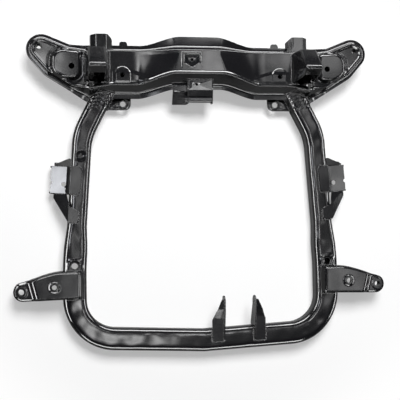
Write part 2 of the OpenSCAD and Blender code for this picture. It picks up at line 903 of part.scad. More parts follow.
module outrigger_shell(side) {
  ring_w = 7.5;
  ring_h = 3;
  color(paint)
  on_side(side)
  difference() {
    union() {
      pressed(arm_outline, [for (i = [0:len(arm_outline) - 1]) arm_profile(i)], shell_t);
      upright_hole(arm_hole_x, arm_front_y + 32, arm_hole_d + 2 * ring_w,
        arm_top_z - shell_t / 2, arm_top_z + ring_h);
      upright_hole(mount_x, -mount_y, mount_hole_d + 2 * ring_w,
        arm_tip_z - shell_t / 2, arm_tip_z + 1);
    }
    upright_hole(arm_hole_x, arm_front_y + 32, arm_hole_d, arm_skirt_z, arm_top_z + ring_h + past);
    upright_hole(mount_x, -mount_y, mount_hole_d, arm_skirt_z, arm_tip_z + 2);
    translate([arm_root_x - 10, arm_front_y - 10, 0])
    cube([arm_clear_x - arm_root_x + 10, arm_w + 20, tube_seat_z]);
  }
}

module outrigger_plate(side) {
  inset = shell_t + 2.2;
  normals = inward(arm_outline);
  color(paint)
  on_side(side)
  translate([0, 0, arm_skirt_z])
  difference() {
    intersection() {
      linear_extrude(shell_t)
      polygon([for (i = [0:len(arm_outline) - 1]) arm_outline[i] + normals[i] * inset]);
      translate([arm_clear_x, arm_front_y - 10, -past])
      cube([mount_x, arm_w + 20, 2 * shell_t]);
    }
    upright_hole(mount_x, -mount_y, mount_hole_d, -past, 2 * shell_t);
  }
}

module outrigger_sleeve(side) {
  color(zinc)
  on_side(side)
  sleeve(mount_x, -mount_y, mount_hole_d, 4.5,
    arm_skirt_z + shell_t + seat_gap, arm_tip_z - shell_t - seat_gap);
}

// Control arm brackets, in a frame that lies along the tube's side

pivot_flank = tube_w_side / 2 + seat_gap;
pivot_x = pivot_flank + pivot_out;
pivot_end = pivot_x + 20;
roof_start = pivot_flank + 9;
roof_end = pivot_x + 17;
saddle_x = -2;

module on_tube_side(side) {
  on_side(side)
  translate([waist_x + (waist_y - pivot_y) * tan(side_angle), pivot_y, 0])
  rotate([0, 0, side_angle])
  children();
}

module pivot_wall_outline() {
  nose = 20;
  polygon(rounded_loop(
    [
      [pivot_flank, 8], [pivot_x - 6, 2], [pivot_end, 2], [pivot_end, pivot_z + nose],
      [roof_end, pivot_roof_z], [pivot_flank, pivot_roof_z]
    ],
    [0, 10, 19, 12, 0, 0]
  ));
}

module arm_bracket(side) {
  half = pivot_gap / 2;
  outside = half + pivot_wall;
  color(paint)
  on_tube_side(side)
  difference() {
    union() {
      along_y(-outside, outside)
      polygon(strip(
        [
          [saddle_x, tube_seat_z + bracket_t], [pivot_flank - 1, tube_seat_z + bracket_t],
          [roof_start, pivot_roof_z], [roof_end, pivot_roof_z]
        ],
        bracket_t
      ));
      along_y(-outside, -half) pivot_wall_outline();
      along_y(half, outside) pivot_wall_outline();
    }
    along_y(-outside - past, outside + past) translate([pivot_x, pivot_z]) circle(d = pivot_d);
    upright_hole(pivot_flank + 15, -11, 12, pivot_roof_z - 2 * bracket_t, pivot_roof_z + past);
    upright_hole(roof_end + 1, -8, 10, pivot_roof_z - 2 * bracket_t, pivot_roof_z + past);
    for (s = [left, right])
      translate([saddle_x, s * outside, tube_seat_z - past])
      rotate([0, 0, 45]) cube([10, 10, 4 * bracket_t], center = true);
  }
}

module arm_rear_gusset(side) {
  face = pivot_gap / 2 + pivot_wall + seat_gap;
  color(paint)
  on_tube_side(side)
  translate([0, 0, pivot_roof_z - 2 * bracket_t])
  linear_extrude(bracket_t)
  polygon(rounded_loop(
    [[pivot_flank, face], [pivot_x + 10, face], [pivot_x + 10, face + 4], [pivot_flank, face + 24]],
    [0, 0, 2, 4]
  ));
}

module arm_front_gusset(side) {
  face = -(pivot_gap / 2 + pivot_wall + seat_gap);
  saddle_back = face - 42;
  saddle_front = face - 72;
  color(paint)
  on_tube_side(side) {
    hull() {
      translate([pivot_flank - 3, saddle_front, tube_seat_z]) cube([2, 42, bracket_t]);
      translate([pivot_flank + 6, face - 12, pivot_roof_z - bracket_t])
      cube([pivot_out + 2, 12, bracket_t]);
    }
    translate([0, 0, tube_seat_z])
    linear_extrude(bracket_t)
    polygon(rounded_loop(
      [
        [saddle_x, saddle_front], [pivot_flank - 2, saddle_front], [pivot_flank - 2, saddle_back + 10],
        [saddle_x, saddle_back]
      ],
      [6, 0, 0, 8]
    ));
  }
}

module pivot_nut(side) {
  face = pivot_gap / 2 + pivot_wall + seat_gap;
  color(zinc)
  on_tube_side(side)
  translate([pivot_x, face, pivot_z])
  rotate([-90, 0, 0])
  hex_nut(19, pivot_d - 2.7, 10);
}

// Front engine mount ears

ear_front = -front_reach - 2;
// Back of the front tube at the distance x from the middle
function ear_tube_back(x) = -front_reach + front_bow * x / side_x + tube_w_front / 2 + 2 * seat_gap;
ear_bolt_y = -front_reach + ear_reach;
ear_nose = 20;

module ear_plate_outline(back) {
  difference() {
    polygon(rounded_loop(
      [
        [ear_front, tube_seat_z], [back, tube_seat_z], [back, 14],
        [ear_bolt_y, ear_bolt_z - ear_nose], [ear_bolt_y + ear_nose, ear_bolt_z - ear_nose],
        [ear_bolt_y + ear_nose, ear_bolt_z + ear_nose], [back + 40, ear_bolt_z + 16],
        [ear_front, tube_seat_z + 9]
      ],
      [0, 0, 6, 0, 16, 14, 30, 6]
    ));
    translate([ear_bolt_y, ear_bolt_z]) circle(d = ear_d);
  }
}

// An ear with its plate on X zero and its flange towards minus X
module ear_form(back) {
  flange_x = 32;
  fold_y = back + 26;
  tip_y = ear_bolt_y + ear_nose - 9;
  along_x(-bracket_t, 0) ear_plate_outline(back);
  intersection() {
    along_x(-flange_x, -bracket_t / 2)
    polygon(strip(
      [
        [tip_y + 6, ear_bolt_z + 13.5], [ear_bolt_y - 14, ear_bolt_z + 12],
        [fold_y, tube_seat_z + bracket_t], [ear_front - 5, tube_seat_z + bracket_t]
      ],
      -bracket_t
    ));
    linear_extrude(ear_bolt_z + 2 * ear_nose)
    polygon(rounded_loop(
      [
        [0, ear_front], [-flange_x, ear_front], [-flange_x, fold_y - 6], [-9, tip_y], [0, tip_y]
      ],
      [0, 4, 10, 3, 0]
    ));
  }
}

module front_ear(side) {
  far_x = ear_x + ear_gap;
  color(paint)
  if (side == left) translate([ear_x, 0, 0]) ear_form(ear_tube_back(ear_x));
  else translate([far_x, 0, 0]) mirror([1, 0, 0]) ear_form(ear_tube_back(far_x + bracket_t));
}

// Centre bracket on the front of the crossmember

cradle_edge = front_y(0) - seat_gap;
cradle_flange_top = flange_top + seam_rise + seat_gap;
cradle_nose = cradle_edge - 38;
spacer_at = [cradle_nose + spacer_d / 2 + 3, spacer_z];
spacer_left = cradle_wall - bracket_t - 6;

// Depth of the crossmember's front wall at the height z
function middle_wall_y(z) = mix(
  front_y(0) + flange_w - 2,
  front_y(0) + flange_w - 2 + beam_wall_run + middle_wall_run,
  (z - flange_top - seam_rise) / (beam_top + middle_rise + bead_h - flange_top - seam_rise)
) - seat_gap;

module cradle_wall_outline() {
  difference() {
    polygon(rounded_loop(
      [
        [cradle_nose, spacer_z - 13], [cradle_edge, cradle_flange_top - 26], [cradle_edge, cradle_flange_top],
        [middle_wall_y(cradle_flange_top), cradle_flange_top], [middle_wall_y(cradle_z), cradle_z],
        [cradle_edge - 2, cradle_z], [cradle_nose, spacer_z + 12]
      ],
      [10, 0, 0, 0, 0, 6, 10]
    ));
    translate(spacer_at) circle(d = spacer_d + 2 * seat_gap);
  }
}

module centre_bracket() {
  ledge_hole = [cradle_wall + 21, cradle_edge + 10];
  color(paint)
  difference() {
    union() {
      along_x(cradle_wall - bracket_t, cradle_wall) cradle_wall_outline();
      along_x(cradle_right - bracket_t, cradle_right) cradle_wall_outline();
      along_x(cradle_wall - bracket_t / 2, cradle_right - bracket_t / 2)
      polygon(strip(
        [
          [cradle_edge - 20, cradle_z - 4], [cradle_edge - 4, cradle_z - 0.5],
          [middle_wall_y(cradle_z - bracket_t), cradle_z]
        ],
        bracket_t
      ));
      along_x(cradle_left, cradle_wall - bracket_t / 2)
      polygon(strip(
        [
          [cradle_nose, spacer_z - 20], [cradle_edge - 6, cradle_flange_top + bracket_t],
          [cradle_edge + 9, cradle_flange_top + bracket_t]
        ],
        bracket_t
      ));
    }
    upright_hole(ledge_hole.x, ledge_hole.y, 7, cradle_z - 2 * bracket_t, cradle_z + past);
    along_x(spacer_left - seat_gap, cradle_wall)
    translate(spacer_at) circle(d = spacer_d + 2 * seat_gap);
  }
}

module centre_spacer_tube() {
  color(zinc)
  difference() {
    along_x(spacer_left, cradle_right) translate(spacer_at) circle(d = spacer_d);
    along_x(spacer_left - past, cradle_right + past) translate(spacer_at) circle(d = spacer_d - 7);
  }
}

crossmember_upper_shell();
crossmember_lower_shell();
bent_tube();
tower_hood(left);  // left_tower_hood
tower_hood(right);  // right_tower_hood
rear_channel(left);  // left_rear_channel
rear_channel(right);  // right_rear_channel
centre_bracket();
centre_spacer_tube();
tie_plate(left);  // left_tie_plate
tie_plate(right);  // right_tie_plate
outrigger_shell(left);  // left_outrigger_shell
outrigger_shell(right);  // right_outrigger_shell
outrigger_plate(left);  // left_outrigger_plate
outrigger_plate(right);  // right_outrigger_plate
outrigger_sleeve(left);  // left_outrigger_sleeve
outrigger_sleeve(right);  // right_outrigger_sleeve
wing_sleeve(left);  // left_wing_sleeve
wing_sleeve(right);  // right_wing_sleeve
pad_sleeve(left);  // left_pad_sleeve
pad_sleeve(right);  // right_pad_sleeve
tube_sleeve(left);  // left_tube_sleeve
tube_sleeve(right);  // right_tube_sleeve
arm_bracket(left);  // left_arm_bracket
arm_bracket(right);  // right_arm_bracket
arm_rear_gusset(left);  // left_arm_rear_gusset
arm_rear_gusset(right);  // right_arm_rear_gusset
arm_front_gusset(left);  // left_arm_front_gusset
arm_front_gusset(right);  // right_arm_front_gusset
front_ear(left);  // left_front_ear
front_ear(right);  // right_front_ear
rack_nut(left);  // left_rack_nut
rack_nut(right);  // right_rack_nut
pivot_nut(left);  // left_pivot_nut
pivot_nut(right);  // right_pivot_nut
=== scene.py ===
import math

import bmesh
import bpy
import numpy as np
from mathutils import Matrix, Vector
from mathutils.bvhtree import BVHTree


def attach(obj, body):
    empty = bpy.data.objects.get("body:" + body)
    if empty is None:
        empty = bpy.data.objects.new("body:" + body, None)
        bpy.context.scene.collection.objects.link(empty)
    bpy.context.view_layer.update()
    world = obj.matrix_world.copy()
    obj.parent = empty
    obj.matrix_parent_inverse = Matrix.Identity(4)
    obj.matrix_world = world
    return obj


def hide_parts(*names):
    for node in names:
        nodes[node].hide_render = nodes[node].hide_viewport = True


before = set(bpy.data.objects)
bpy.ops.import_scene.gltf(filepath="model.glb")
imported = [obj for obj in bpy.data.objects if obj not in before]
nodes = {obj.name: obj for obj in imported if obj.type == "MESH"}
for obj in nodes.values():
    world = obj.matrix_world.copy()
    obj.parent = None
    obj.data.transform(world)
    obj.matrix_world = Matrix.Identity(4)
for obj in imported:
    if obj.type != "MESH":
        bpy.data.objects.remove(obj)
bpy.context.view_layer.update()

scene = bpy.context.scene

# Curves and outlines, in millimetres


def ramp(a, b, v):
    t = np.clip((np.asarray(v, float) - a) / (b - a), 0, 1)
    return t * t * (3 - 2 * t)


def mix(a, b, t):
    return a + (b - a) * t


# Straight slope with eased ends
def slope(a, b, v):
    return mix(np.clip((np.asarray(v, float) - a) / (b - a), 0, 1), ramp(a, b, v), 0.4)


def unit(v):
    return v / np.linalg.norm(v)


def turned(v, angle):
    c, s = math.cos(angle), math.sin(angle)
    return np.array([v[0] * c - v[1] * s, v[0] * s + v[1] * c])


def cornerArc(a, b, c, r, step):
    u, v = unit(a - b), unit(c - b)
    half = math.acos(float(u @ v)) / 2
    middle = b + unit(u + v) * r / math.sin(half)
    start = b + u * r / math.tan(half) - middle
    swing = (math.pi - 2 * half) * (-1 if u[0] * v[1] - u[1] * v[0] > 0 else 1)
    n = max(1, math.ceil(abs(swing) / math.radians(step)))
    return [middle + turned(start, swing * i / n) for i in range(n + 1)]


def rounded(points, radii, closed=False, step=5):
    p = [np.array(q, float) for q in points]
    out = []
    for i, r in enumerate(radii):
        if r == 0 or (not closed and i in (0, len(p) - 1)):
            out.append(p[i])
        else:
            out += cornerArc(p[i - 1], p[i], p[(i + 1) % len(p)], r, step)
    return np.array(out)


def along(points, count):
    p = np.asarray(points, float)
    s = np.concatenate([[0], np.cumsum(np.linalg.norm(np.diff(p, axis=0), axis=1))])
    t = np.linspace(0, s[-1], count)
    return np.stack([np.interp(t, s, p[:, k]) for k in range(p.shape[1])], axis=1)


def stepped(points, step):
    p = np.asarray(points, float)
    length = np.linalg.norm(np.diff(p, axis=0), axis=1).sum()
    return along(p, max(2, int(length / step) + 1))


# Distance inside a closed outline, positive inside
def depthIn(outline, x, y):
    a = np.asarray(outline, float)
    b = np.roll(a, -1, axis=0)
    best = np.full(x.shape, 1e9)
    inside = np.zeros(x.shape, bool)
    for (ax, ay), (bx, by) in zip(a, b):
        ex, ey = bx - ax, by - ay
        t = np.clip(((x - ax) * ex + (y - ay) * ey) / (ex * ex + ey * ey + 1e-12), 0, 1)
        best = np.minimum(best, np.hypot(x - ax - t * ex, y - ay - t * ey))
        if ay != by:
            inside ^= ((ay > y) != (by > y)) & (x < (bx - ax) * (y - ay) / (by - ay) + ax)
    return np.where(inside, best, -best)


# Mesh building

meter = 0.001


def newPiece(name, mesh):
    piece = bpy.data.objects.new(name, mesh)
    scene.collection.objects.link(piece)
    return piece


def meshFrom(name, points, faces):
    mesh = bpy.data.meshes.new(name)
    mesh.from_pydata((np.asarray(points) * meter).tolist(), [], faces)
    mesh.update()
    return mesh


def settle(piece):
    graph = bpy.context.evaluated_depsgraph_get()
    mesh = bpy.data.meshes.new_from_object(piece.evaluated_get(graph))
    piece.modifiers.clear()
    piece.data = mesh
    mesh.name = piece.name


def smoothed(piece, angle):
    piece.data.shade_smooth()
    piece.data.set_sharp_from_angle(angle=math.radians(angle))


# Opens round holes: points inside go, and the ring left behind moves onto the circle
def openHoles(mesh, holes):
    work = bmesh.new()
    work.from_mesh(mesh)
    for x, y, r, low, high in holes:
        near = [v for v in work.verts if low <= v.co.z / meter <= high
                and math.hypot(v.co.x / meter - x, v.co.y / meter - y) < r]
        bmesh.ops.delete(work, geom=near, context="VERTS")
        for e in work.edges:
            if not e.is_boundary:
                continue
            for v in e.verts:
                d = Vector((v.co.x / meter - x, v.co.y / meter - y))
                if low <= v.co.z / meter <= high and d.length < r + 5:
                    v.co.x = (x + d.x * r / d.length) * meter
                    v.co.y = (y + d.y * r / d.length) * meter
    work.to_mesh(mesh)
    work.free()


# Cuts an upright round hole that starts at a low height
def cutRound(piece, x, y, r, low):
    deep, segments = 70, 64
    cut = bmesh.new()
    bmesh.ops.create_cone(
        cut, cap_ends=True, segments=segments, radius1=r * meter, radius2=r * meter, depth=deep * meter)
    bmesh.ops.translate(cut, verts=cut.verts, vec=(x * meter, y * meter, (low + deep / 2) * meter))
    cutMesh = bpy.data.meshes.new("cutter")
    cut.to_mesh(cutMesh)
    cut.free()
    cutter = newPiece("cutter", cutMesh)
    hole = piece.modifiers.new("hole", "BOOLEAN")
    hole.object = cutter
    hole.solver = "EXACT"
    settle(piece)
    bpy.data.objects.remove(cutter)
    bpy.data.meshes.remove(cutMesh)


# Cuts large faces into triangles and drops those too thin to see
def dropSlivers(piece):
    thin = 0.05
    work = bmesh.new()
    work.from_mesh(piece.data)
    bmesh.ops.triangulate(work, faces=[f for f in work.faces if len(f.verts) > 4])
    bmesh.ops.dissolve_degenerate(work, edges=work.edges, dist=thin * meter)
    work.to_mesh(piece.data)
    work.free()


def addMesh(piece, points, faces):
    work = bmesh.new()
    work.from_mesh(piece.data)
    extra = meshFrom("extra", points, faces)
    work.from_mesh(extra)
    work.to_mesh(piece.data)
    work.free()
    bpy.data.meshes.remove(extra)


# Adds a raised round collar to a piece
def addCollar(piece, x, y, z, inner, outer, rise):
    n = 48
    profile = [(inner, 0), (inner, rise - 0.5), (inner + 0.5, rise),
               (outer - 1.4, rise), (outer - 0.4, rise - 0.6), (outer, 0)]
    points = [(x + r * math.cos(2 * math.pi * k / n), y + r * math.sin(2 * math.pi * k / n), z + h)
              for r, h in profile for k in range(n)]
    rows = len(profile)
    faces = [(j * n + (k + 1) % n, j * n + k, (j + 1) % rows * n + k, (j + 1) % rows * n + (k + 1) % n)
             for j in range(rows) for k in range(n)]
    addMesh(piece, points, faces)
    smoothed(piece, 40)


def finishPiece(piece, material, slotName, *stoodFor):
    piece.data.materials.clear()
    piece.data.materials.append(material)
    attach(piece, "root")
    if stoodFor:
        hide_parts(*stoodFor)


# Rounded version of a profile of [distance, height] points
def softProfile(points, reach, steps=4):
    out = [points[0]]
    for i in range(1, len(points) - 1):
        a, b, c = points[i - 1], points[i], points[i + 1]
        la, lc = np.linalg.norm(a - b), np.linalg.norm(c - b)
        q = min(reach[i - 1], 0.48 * la, 0.48 * lc)
        p0, p2 = b + (a - b) * q / la, b + (c - b) * q / lc
        for k in range(steps + 1):
            t = k / steps
            out.append((1 - t) ** 2 * p0 + 2 * t * (1 - t) * b + t * t * p2)
    out.append(points[-1])
    return np.array(out)


# Pressed sheet from front and rear edges that pair up, with a profile at each edge point. Rectangles in finer
# get a closer mesh where the sheet is higher than finerAbove
def pressedSheet(name, front, rear, profileOf, reach, across, shape, relax, finer=(), finerAbove=0):
    n = len(front)
    ring = np.concatenate([front, rear[::-1]])
    for _ in range(relax):
        ring = (np.roll(ring, 1, axis=0) + 2 * ring + np.roll(ring, -1, axis=0)) / 4
    way = np.roll(ring, -1, axis=0) - np.roll(ring, 1, axis=0)
    way /= np.linalg.norm(way, axis=1)[:, None]
    inward = np.stack([-way[:, 1], way[:, 0]], axis=1)
    m = 2 * n
    rows = np.array([softProfile(np.array(profileOf(ring[i, 0], i >= n), float), reach) for i in range(m)])
    levels = rows.shape[1]
    grid = np.zeros((levels, m, 3))
    for k in range(levels):
        grid[k, :, :2] = ring + inward * rows[:, k, :1]
        grid[k, :, 2] = rows[:, k, 1]
    points = list(grid.reshape(-1, 3))
    faces = [(k * m + i, k * m + (i + 1) % m, (k + 1) * m + (i + 1) % m, (k + 1) * m + i)
             for k in range(levels - 2) for i in range(m)]
    last, prev = (levels - 1) * m, (levels - 2) * m
    a, b = grid[-1, :n], grid[-1, n:][::-1]
    index = np.zeros((n, across + 1), int)
    for i in range(n):
        index[i, 0], index[i, across] = last + i, last + m - 1 - i
    for j in range(1, across):
        t = j / across
        index[:, j] = len(points) + np.arange(n)
        points += list(mix(a, b, t))
    for i in range(n - 1):
        faces.append((prev + i, prev + i + 1, last + i + 1, last + i))
        k = m - 1 - i
        faces.append((prev + k - 1, prev + k, last + k, last + k - 1))
        for j in range(across):
            faces.append((index[i, j], index[i + 1, j], index[i + 1, j + 1], index[i, j + 1]))
    faces.append([prev + m - 1, prev] + [int(v) for v in index[0]])
    faces.append([prev + n - 1, prev + n] + [int(v) for v in index[n - 1][::-1]])
    mesh = meshFrom(name, points, [tuple(int(v) for v in f) for f in faces])
    work = bmesh.new()
    work.from_mesh(mesh)
    for x0, y0, x1, y1 in finer:
        near = [e for e in work.edges if all(
            x0 < v.co.x / meter < x1 and y0 < v.co.y / meter < y1 and v.co.z / meter > finerAbove
            for v in e.verts)]
        bmesh.ops.subdivide_edges(work, edges=near, cuts=1, use_grid_fill=True)
    place = np.array([v.co for v in work.verts]) / meter
    for v, z in zip(work.verts, shape(place[:, 0], place[:, 1], place[:, 2])):
        v.co.z = z * meter
    work.to_mesh(mesh)
    work.free()
    return newPiece(name, mesh)


def thicken(piece, thick):
    solid = piece.modifiers.new("sheet", "SOLIDIFY")
    solid.thickness = thick * meter
    solid.offset = -1
    solid.use_even_offset = False
    settle(piece)


# One node of a shader or geometry tree, with its settings, values and links
def addNode(tree, kind, settings=None, inputs=None):
    node = tree.nodes.new(kind)
    for key, value in (settings or {}).items():
        setattr(node, key, value)
    for key, value in (inputs or {}).items():
        if isinstance(value, bpy.types.NodeSocket):
            tree.links.new(value, node.inputs[key])
        else:
            node.inputs[key].default_value = value
    return node


def linearColor(code):
    out = []
    for k in (0, 2, 4):
        c = int(code[k:k + 2], 16) / 255
        out.append(c / 12.92 if c <= 0.04045 else ((c + 0.055) / 1.055) ** 2.4)
    return (*out, 1)


# Black electrocoat on steel: a glossy film whose sheen wanders a little,
# with faint orange peel, slow waves and grey dust
def electrocoat(name, settings):
    material = bpy.data.materials.new(name)
    material.use_nodes = True
    tree = material.node_tree
    tree.nodes.clear()
    place = addNode(tree, "ShaderNodeTexCoord").outputs["Object"]
    cloud, peel, speck, wave = (
        addNode(tree, "ShaderNodeTexNoise", {}, {
            "Vector": place, "Scale": 1000 / settings[size], "Detail": detail})
        for size, detail in (("cloudMm", 3), ("peelMm", 2), ("speckMm", 1), ("waveMm", 1)))
    cloudLow, cloudHigh, speckLow, speckHigh = 0.3, 0.7, 0.62, 0.75
    peelDepth, filmIor = 0.2, 1.5
    rough = addNode(tree, "ShaderNodeMapRange", {}, {
        "Value": cloud.outputs["Fac"], "From Min": cloudLow, "From Max": cloudHigh,
        "To Min": settings["roughLow"], "To Max": settings["roughHigh"]})
    dust = addNode(tree, "ShaderNodeMapRange", {}, {
        "Value": speck.outputs["Fac"], "From Min": speckLow, "From Max": speckHigh,
        "To Min": 0, "To Max": settings["dust"]})
    tone = addNode(tree, "ShaderNodeMix", {"data_type": "RGBA"}, {
        "Factor": dust.outputs["Result"],
        "A": linearColor(settings["color"]), "B": linearColor(settings["dustColor"])})
    bent = addNode(tree, "ShaderNodeBump", {}, {
        "Height": wave.outputs["Fac"], "Strength": 1.0, "Distance": settings["waveDepthMm"] * meter})
    bump = addNode(tree, "ShaderNodeBump", {}, {
        "Height": peel.outputs["Fac"], "Strength": settings["peelStrength"], "Distance": peelDepth * meter,
        "Normal": bent.outputs["Normal"]})
    shader = addNode(tree, "ShaderNodeBsdfPrincipled", {}, {
        "Base Color": tone.outputs["Result"], "Roughness": rough.outputs["Result"],
        "Normal": bump.outputs["Normal"], "IOR": filmIor})
    addNode(tree, "ShaderNodeOutputMaterial", {}, {"Surface": shader.outputs["BSDF"]})
    return material


# The eye sees deep black with clear reflections that bend slightly over the sheet
sheetPaint = electrocoat("electrocoatOnPressedSteel", {
    "color": "141416", "dustColor": "3a3a3c", "dust": 0.35, "cloudMm": 60, "peelMm": 2.2, "speckMm": 1.1,
    "roughLow": 0.11, "roughHigh": 0.18, "peelStrength": 0.12, "waveMm": 70, "waveDepthMm": 0.9})
# Stronger waves, so that reflections break up along the formed tube
tubePaint = electrocoat("electrocoatOnFormedTube", {
    "color": "121214", "dustColor": "38383a", "dust": 0.3, "cloudMm": 90, "peelMm": 2.6, "speckMm": 1.2,
    "roughLow": 0.11, "roughHigh": 0.19, "peelStrength": 0.1, "waveMm": 45, "waveDepthMm": 1.4})
# Rougher and lumpier, so that the beads sparkle in small points
weldPaint = electrocoat("electrocoatOnWeldBeads", {
    "color": "161618", "dustColor": "404042", "dust": 0.4, "cloudMm": 20, "peelMm": 1.2, "speckMm": 0.8,
    "roughLow": 0.16, "roughHigh": 0.28, "peelStrength": 0.3, "waveMm": 12, "waveDepthMm": 0.5})
# A shade lighter and nearly flat, as turned sleeves and nuts look
hardwarePaint = electrocoat("electrocoatOnTurnedSteel", {
    "color": "1a1a1c", "dustColor": "444446", "dust": 0.3, "cloudMm": 15, "peelMm": 1.5, "speckMm": 0.9,
    "roughLow": 0.14, "roughHigh": 0.24, "peelStrength": 0.1, "waveMm": 30, "waveDepthMm": 0.3})
print("paint ready")

# Crossmember shells

beam = {
    "front": 249, "rear": 388, "top": 80, "seam": 45, "sheet": 2.5, "seat": 0.3, "towerX": 272,
    "middleHalf": 64, "middleRamp": 88, "middleShift": -8, "middleRise": 20,
    "archRamp": 113, "archPower": 1.5, "floorRise": 22, "seamRise": 18, "setback": 23,
    "flange": 14, "middleFlange": 2, "rearFlange": 12, "rearPad": 22, "rearPadHalf": 53, "rearPadFlange": 14,
    "wallRun": 16, "rearWallRun": 8, "middleWallRun": 7, "floorRun": 10,
    "bead": 3, "beadWidth": 4, "beadEnd": (-9, 21), "straightTo": 232, "topFrom": 63,
    "relax": 10, "sharp": 40,
}
wing = {
    "tip": (412, 373), "radius": 39, "frontArc": (-45, 32.4), "rearArc": (112, 33.6), "split": 0.4,
    "root": (295, 238), "knee": (405, 306), "shoulder": (341, 386),
    "flangeZ": 56, "ridge": 73, "land": 67, "floor": 38, "flange": 9, "run": 4, "crest": 5, "drop": 5,
    "pad": (350, 337), "padR": 30, "padZ": 84, "padSlope": 9, "padSunk": 4, "padFrom": 300, "padTo": 400,
    "moat": 2, "moatStart": (-8, -3), "moatEnd": (0, 3),
    "blend": (30, -66), "topBlend": (34, 46), "floorBlend": (30, 8),
}
# Share of a pad's height by the distance inside its outline
padRise = {"inside": [-3, -1, 6.5, 8.5, 11], "share": [0, 0.06, 0.86, 0.97, 1]}


# 1 within half a width of the arch's middle, 0 beyond the ramps
def nearMiddle(x, half):
    return 1 - slope(half, half + beam["middleRamp"], np.abs(x - beam["middleShift"]))


def inMiddle(x):
    return nearMiddle(x, beam["middleHalf"])


# The top climbs in a hollow curve that ends in a fold at the arch
def inArch(x):
    reach = beam["middleHalf"] + beam["archRamp"] - np.abs(x - beam["middleShift"])
    return np.clip(reach / beam["archRamp"], 0, 1) ** beam["archPower"]


def inRearPad(x):
    return nearMiddle(x, beam["rearPadHalf"])


def pastTower(x, start, end):
    return ramp(beam["towerX"] + start, beam["towerX"] + end, np.abs(x))


def inBead(x):
    return 1 - pastTower(x, *beam["beadEnd"])


def inWing(x):
    return ramp(beam["towerX"] + wing["blend"][0], wing["tip"][0] + wing["blend"][1], np.abs(x))


def seamZ(x):
    return mix(beam["seam"] + beam["seamRise"] * inMiddle(x), wing["flangeZ"], inWing(x))


def topZ(x, wingZ):
    return mix(beam["top"] + beam["middleRise"] * inArch(x), wingZ, pastTower(x, *wing["topBlend"]))


def floorZ(x):
    start, end = wing["floorBlend"]
    return mix(beam["sheet"] + beam["floorRise"] * inMiddle(x), wing["floor"],
               ramp(wing["pad"][0] + start, wing["tip"][0] + end, np.abs(x)))


def tipArc(a, b, count):
    angles = np.radians(np.linspace(a, b, count))
    return np.stack([wing["tip"][0] + wing["radius"] * np.cos(angles),
                     wing["tip"][1] + wing["radius"] * np.sin(angles)], axis=1)


def shellEdges():
    counts = {"beam": 98, "root": 27, "wing": 55, "knee": 23, "tip": 24}
    root, knee, shoulder = (np.array(wing[k], float) for k in ("root", "knee", "shoulder"))
    x = np.linspace(0, beam["straightTo"], counts["beam"])
    start, back = (np.array([beam["straightTo"], beam[k]]) for k in ("front", "rear"))
    split = mix(back, shoulder, wing["split"])
    frontTip, rearTip = (tipArc(*wing[k], counts["tip"]) for k in ("frontArc", "rearArc"))
    front = np.concatenate([
        np.stack([x, beam["front"] + beam["setback"] * inMiddle(x)], axis=1)[1:],
        along([start, root], counts["root"])[1:], along([root, knee], counts["wing"])[1:],
        along([knee, frontTip[0]], counts["knee"])[1:], frontTip[1:]])
    rear = np.concatenate([
        np.stack([x, beam["rear"] + beam["rearPad"] * inRearPad(x)], axis=1)[1:],
        along([back, split], counts["root"])[1:], along([split, shoulder], counts["wing"])[1:],
        along([shoulder, rearTip[0]], counts["knee"])[1:], rearTip[1:]])

    def wholeEdge(half, y, amount, share):
        mirrored = np.stack([-half[:, 0], half[:, 1]], axis=1)[::-1]
        near = np.abs(mirrored[:, 0]) <= beam["straightTo"]
        mirrored[near, 1] = y + amount * share(mirrored[near, 0])
        return np.concatenate([mirrored, [[0, y + amount * float(share(0.0))]], half])

    return (wholeEdge(front, beam["front"], beam["setback"], inMiddle),
            wholeEdge(rear, beam["rear"], beam["rearPad"], inRearPad))


def flangeWidth(x, isRear):
    if isRear:
        own = beam["rearFlange"] + beam["rearPadFlange"] * inRearPad(x)
    else:
        own = beam["flange"] - beam["middleFlange"] * inMiddle(x)
    return float(mix(own, wing["flange"], inWing(x)))


def upperProfile(x, isRear):
    seam = float(seamZ(x)) + beam["sheet"] + beam["seat"]
    flange = flangeWidth(x, isRear)
    run = (beam["rearWallRun"] if isRear else beam["wallRun"]) + beam["middleWallRun"] * inMiddle(x)
    foot = flange + float(mix(run, wing["run"], inWing(x)))
    bead = 0 if isRear else float(inBead(x))
    crest = float(topZ(x, wing["ridge"])) + beam["bead"] * bead
    flat, drop = mix(wing["crest"], beam["beadWidth"], bead), mix(wing["drop"], beam["beadWidth"], bead)
    return [[0, seam], [flange, seam], [foot, crest], [foot + flat, crest],
            [foot + flat + drop, float(topZ(x, wing["land"]))]]


def lowerProfile(x, isRear):
    seam, flange = float(seamZ(x)), flangeWidth(x, isRear)
    return [[0, seam], [flange, seam], [flange + beam["floorRun"], float(floorZ(x))]]


boss = {"at": (207, 304), "r": 22, "rise": 4.5, "shift": 2, "back": 20, "ramp": 3,
        "platform": 2.5, "platformRamp": 11}
platformOutline = rounded(
    [(233, 281), (233, 319), (183, 319), (143, 307), (133, 292), (151, 281)], [4, 8, 20, 10, 6, 10], True)
bossOutline = np.concatenate([
    [(boss["at"][0] + boss["r"] * math.cos(a), boss["at"][1] + boss["shift"] + boss["r"] * math.sin(a))
     for a in np.radians(np.arange(0, 181, 10))],
    [(boss["at"][0] + side * boss["r"], boss["at"][1] - boss["back"]) for side in (-1, 1)]])
padOutline = rounded(
    [tuple(middle + wing["padR"] * c + wing["padSlope"] * np.sign(c)
           for middle, c in zip(wing["pad"], corner))
     for corner in ((-1, -1.2), (0.15, -1.2), (1.08, -0.5), (1, 1), (-1, 0.8))], [20, 42, 28, 32, 14], True)
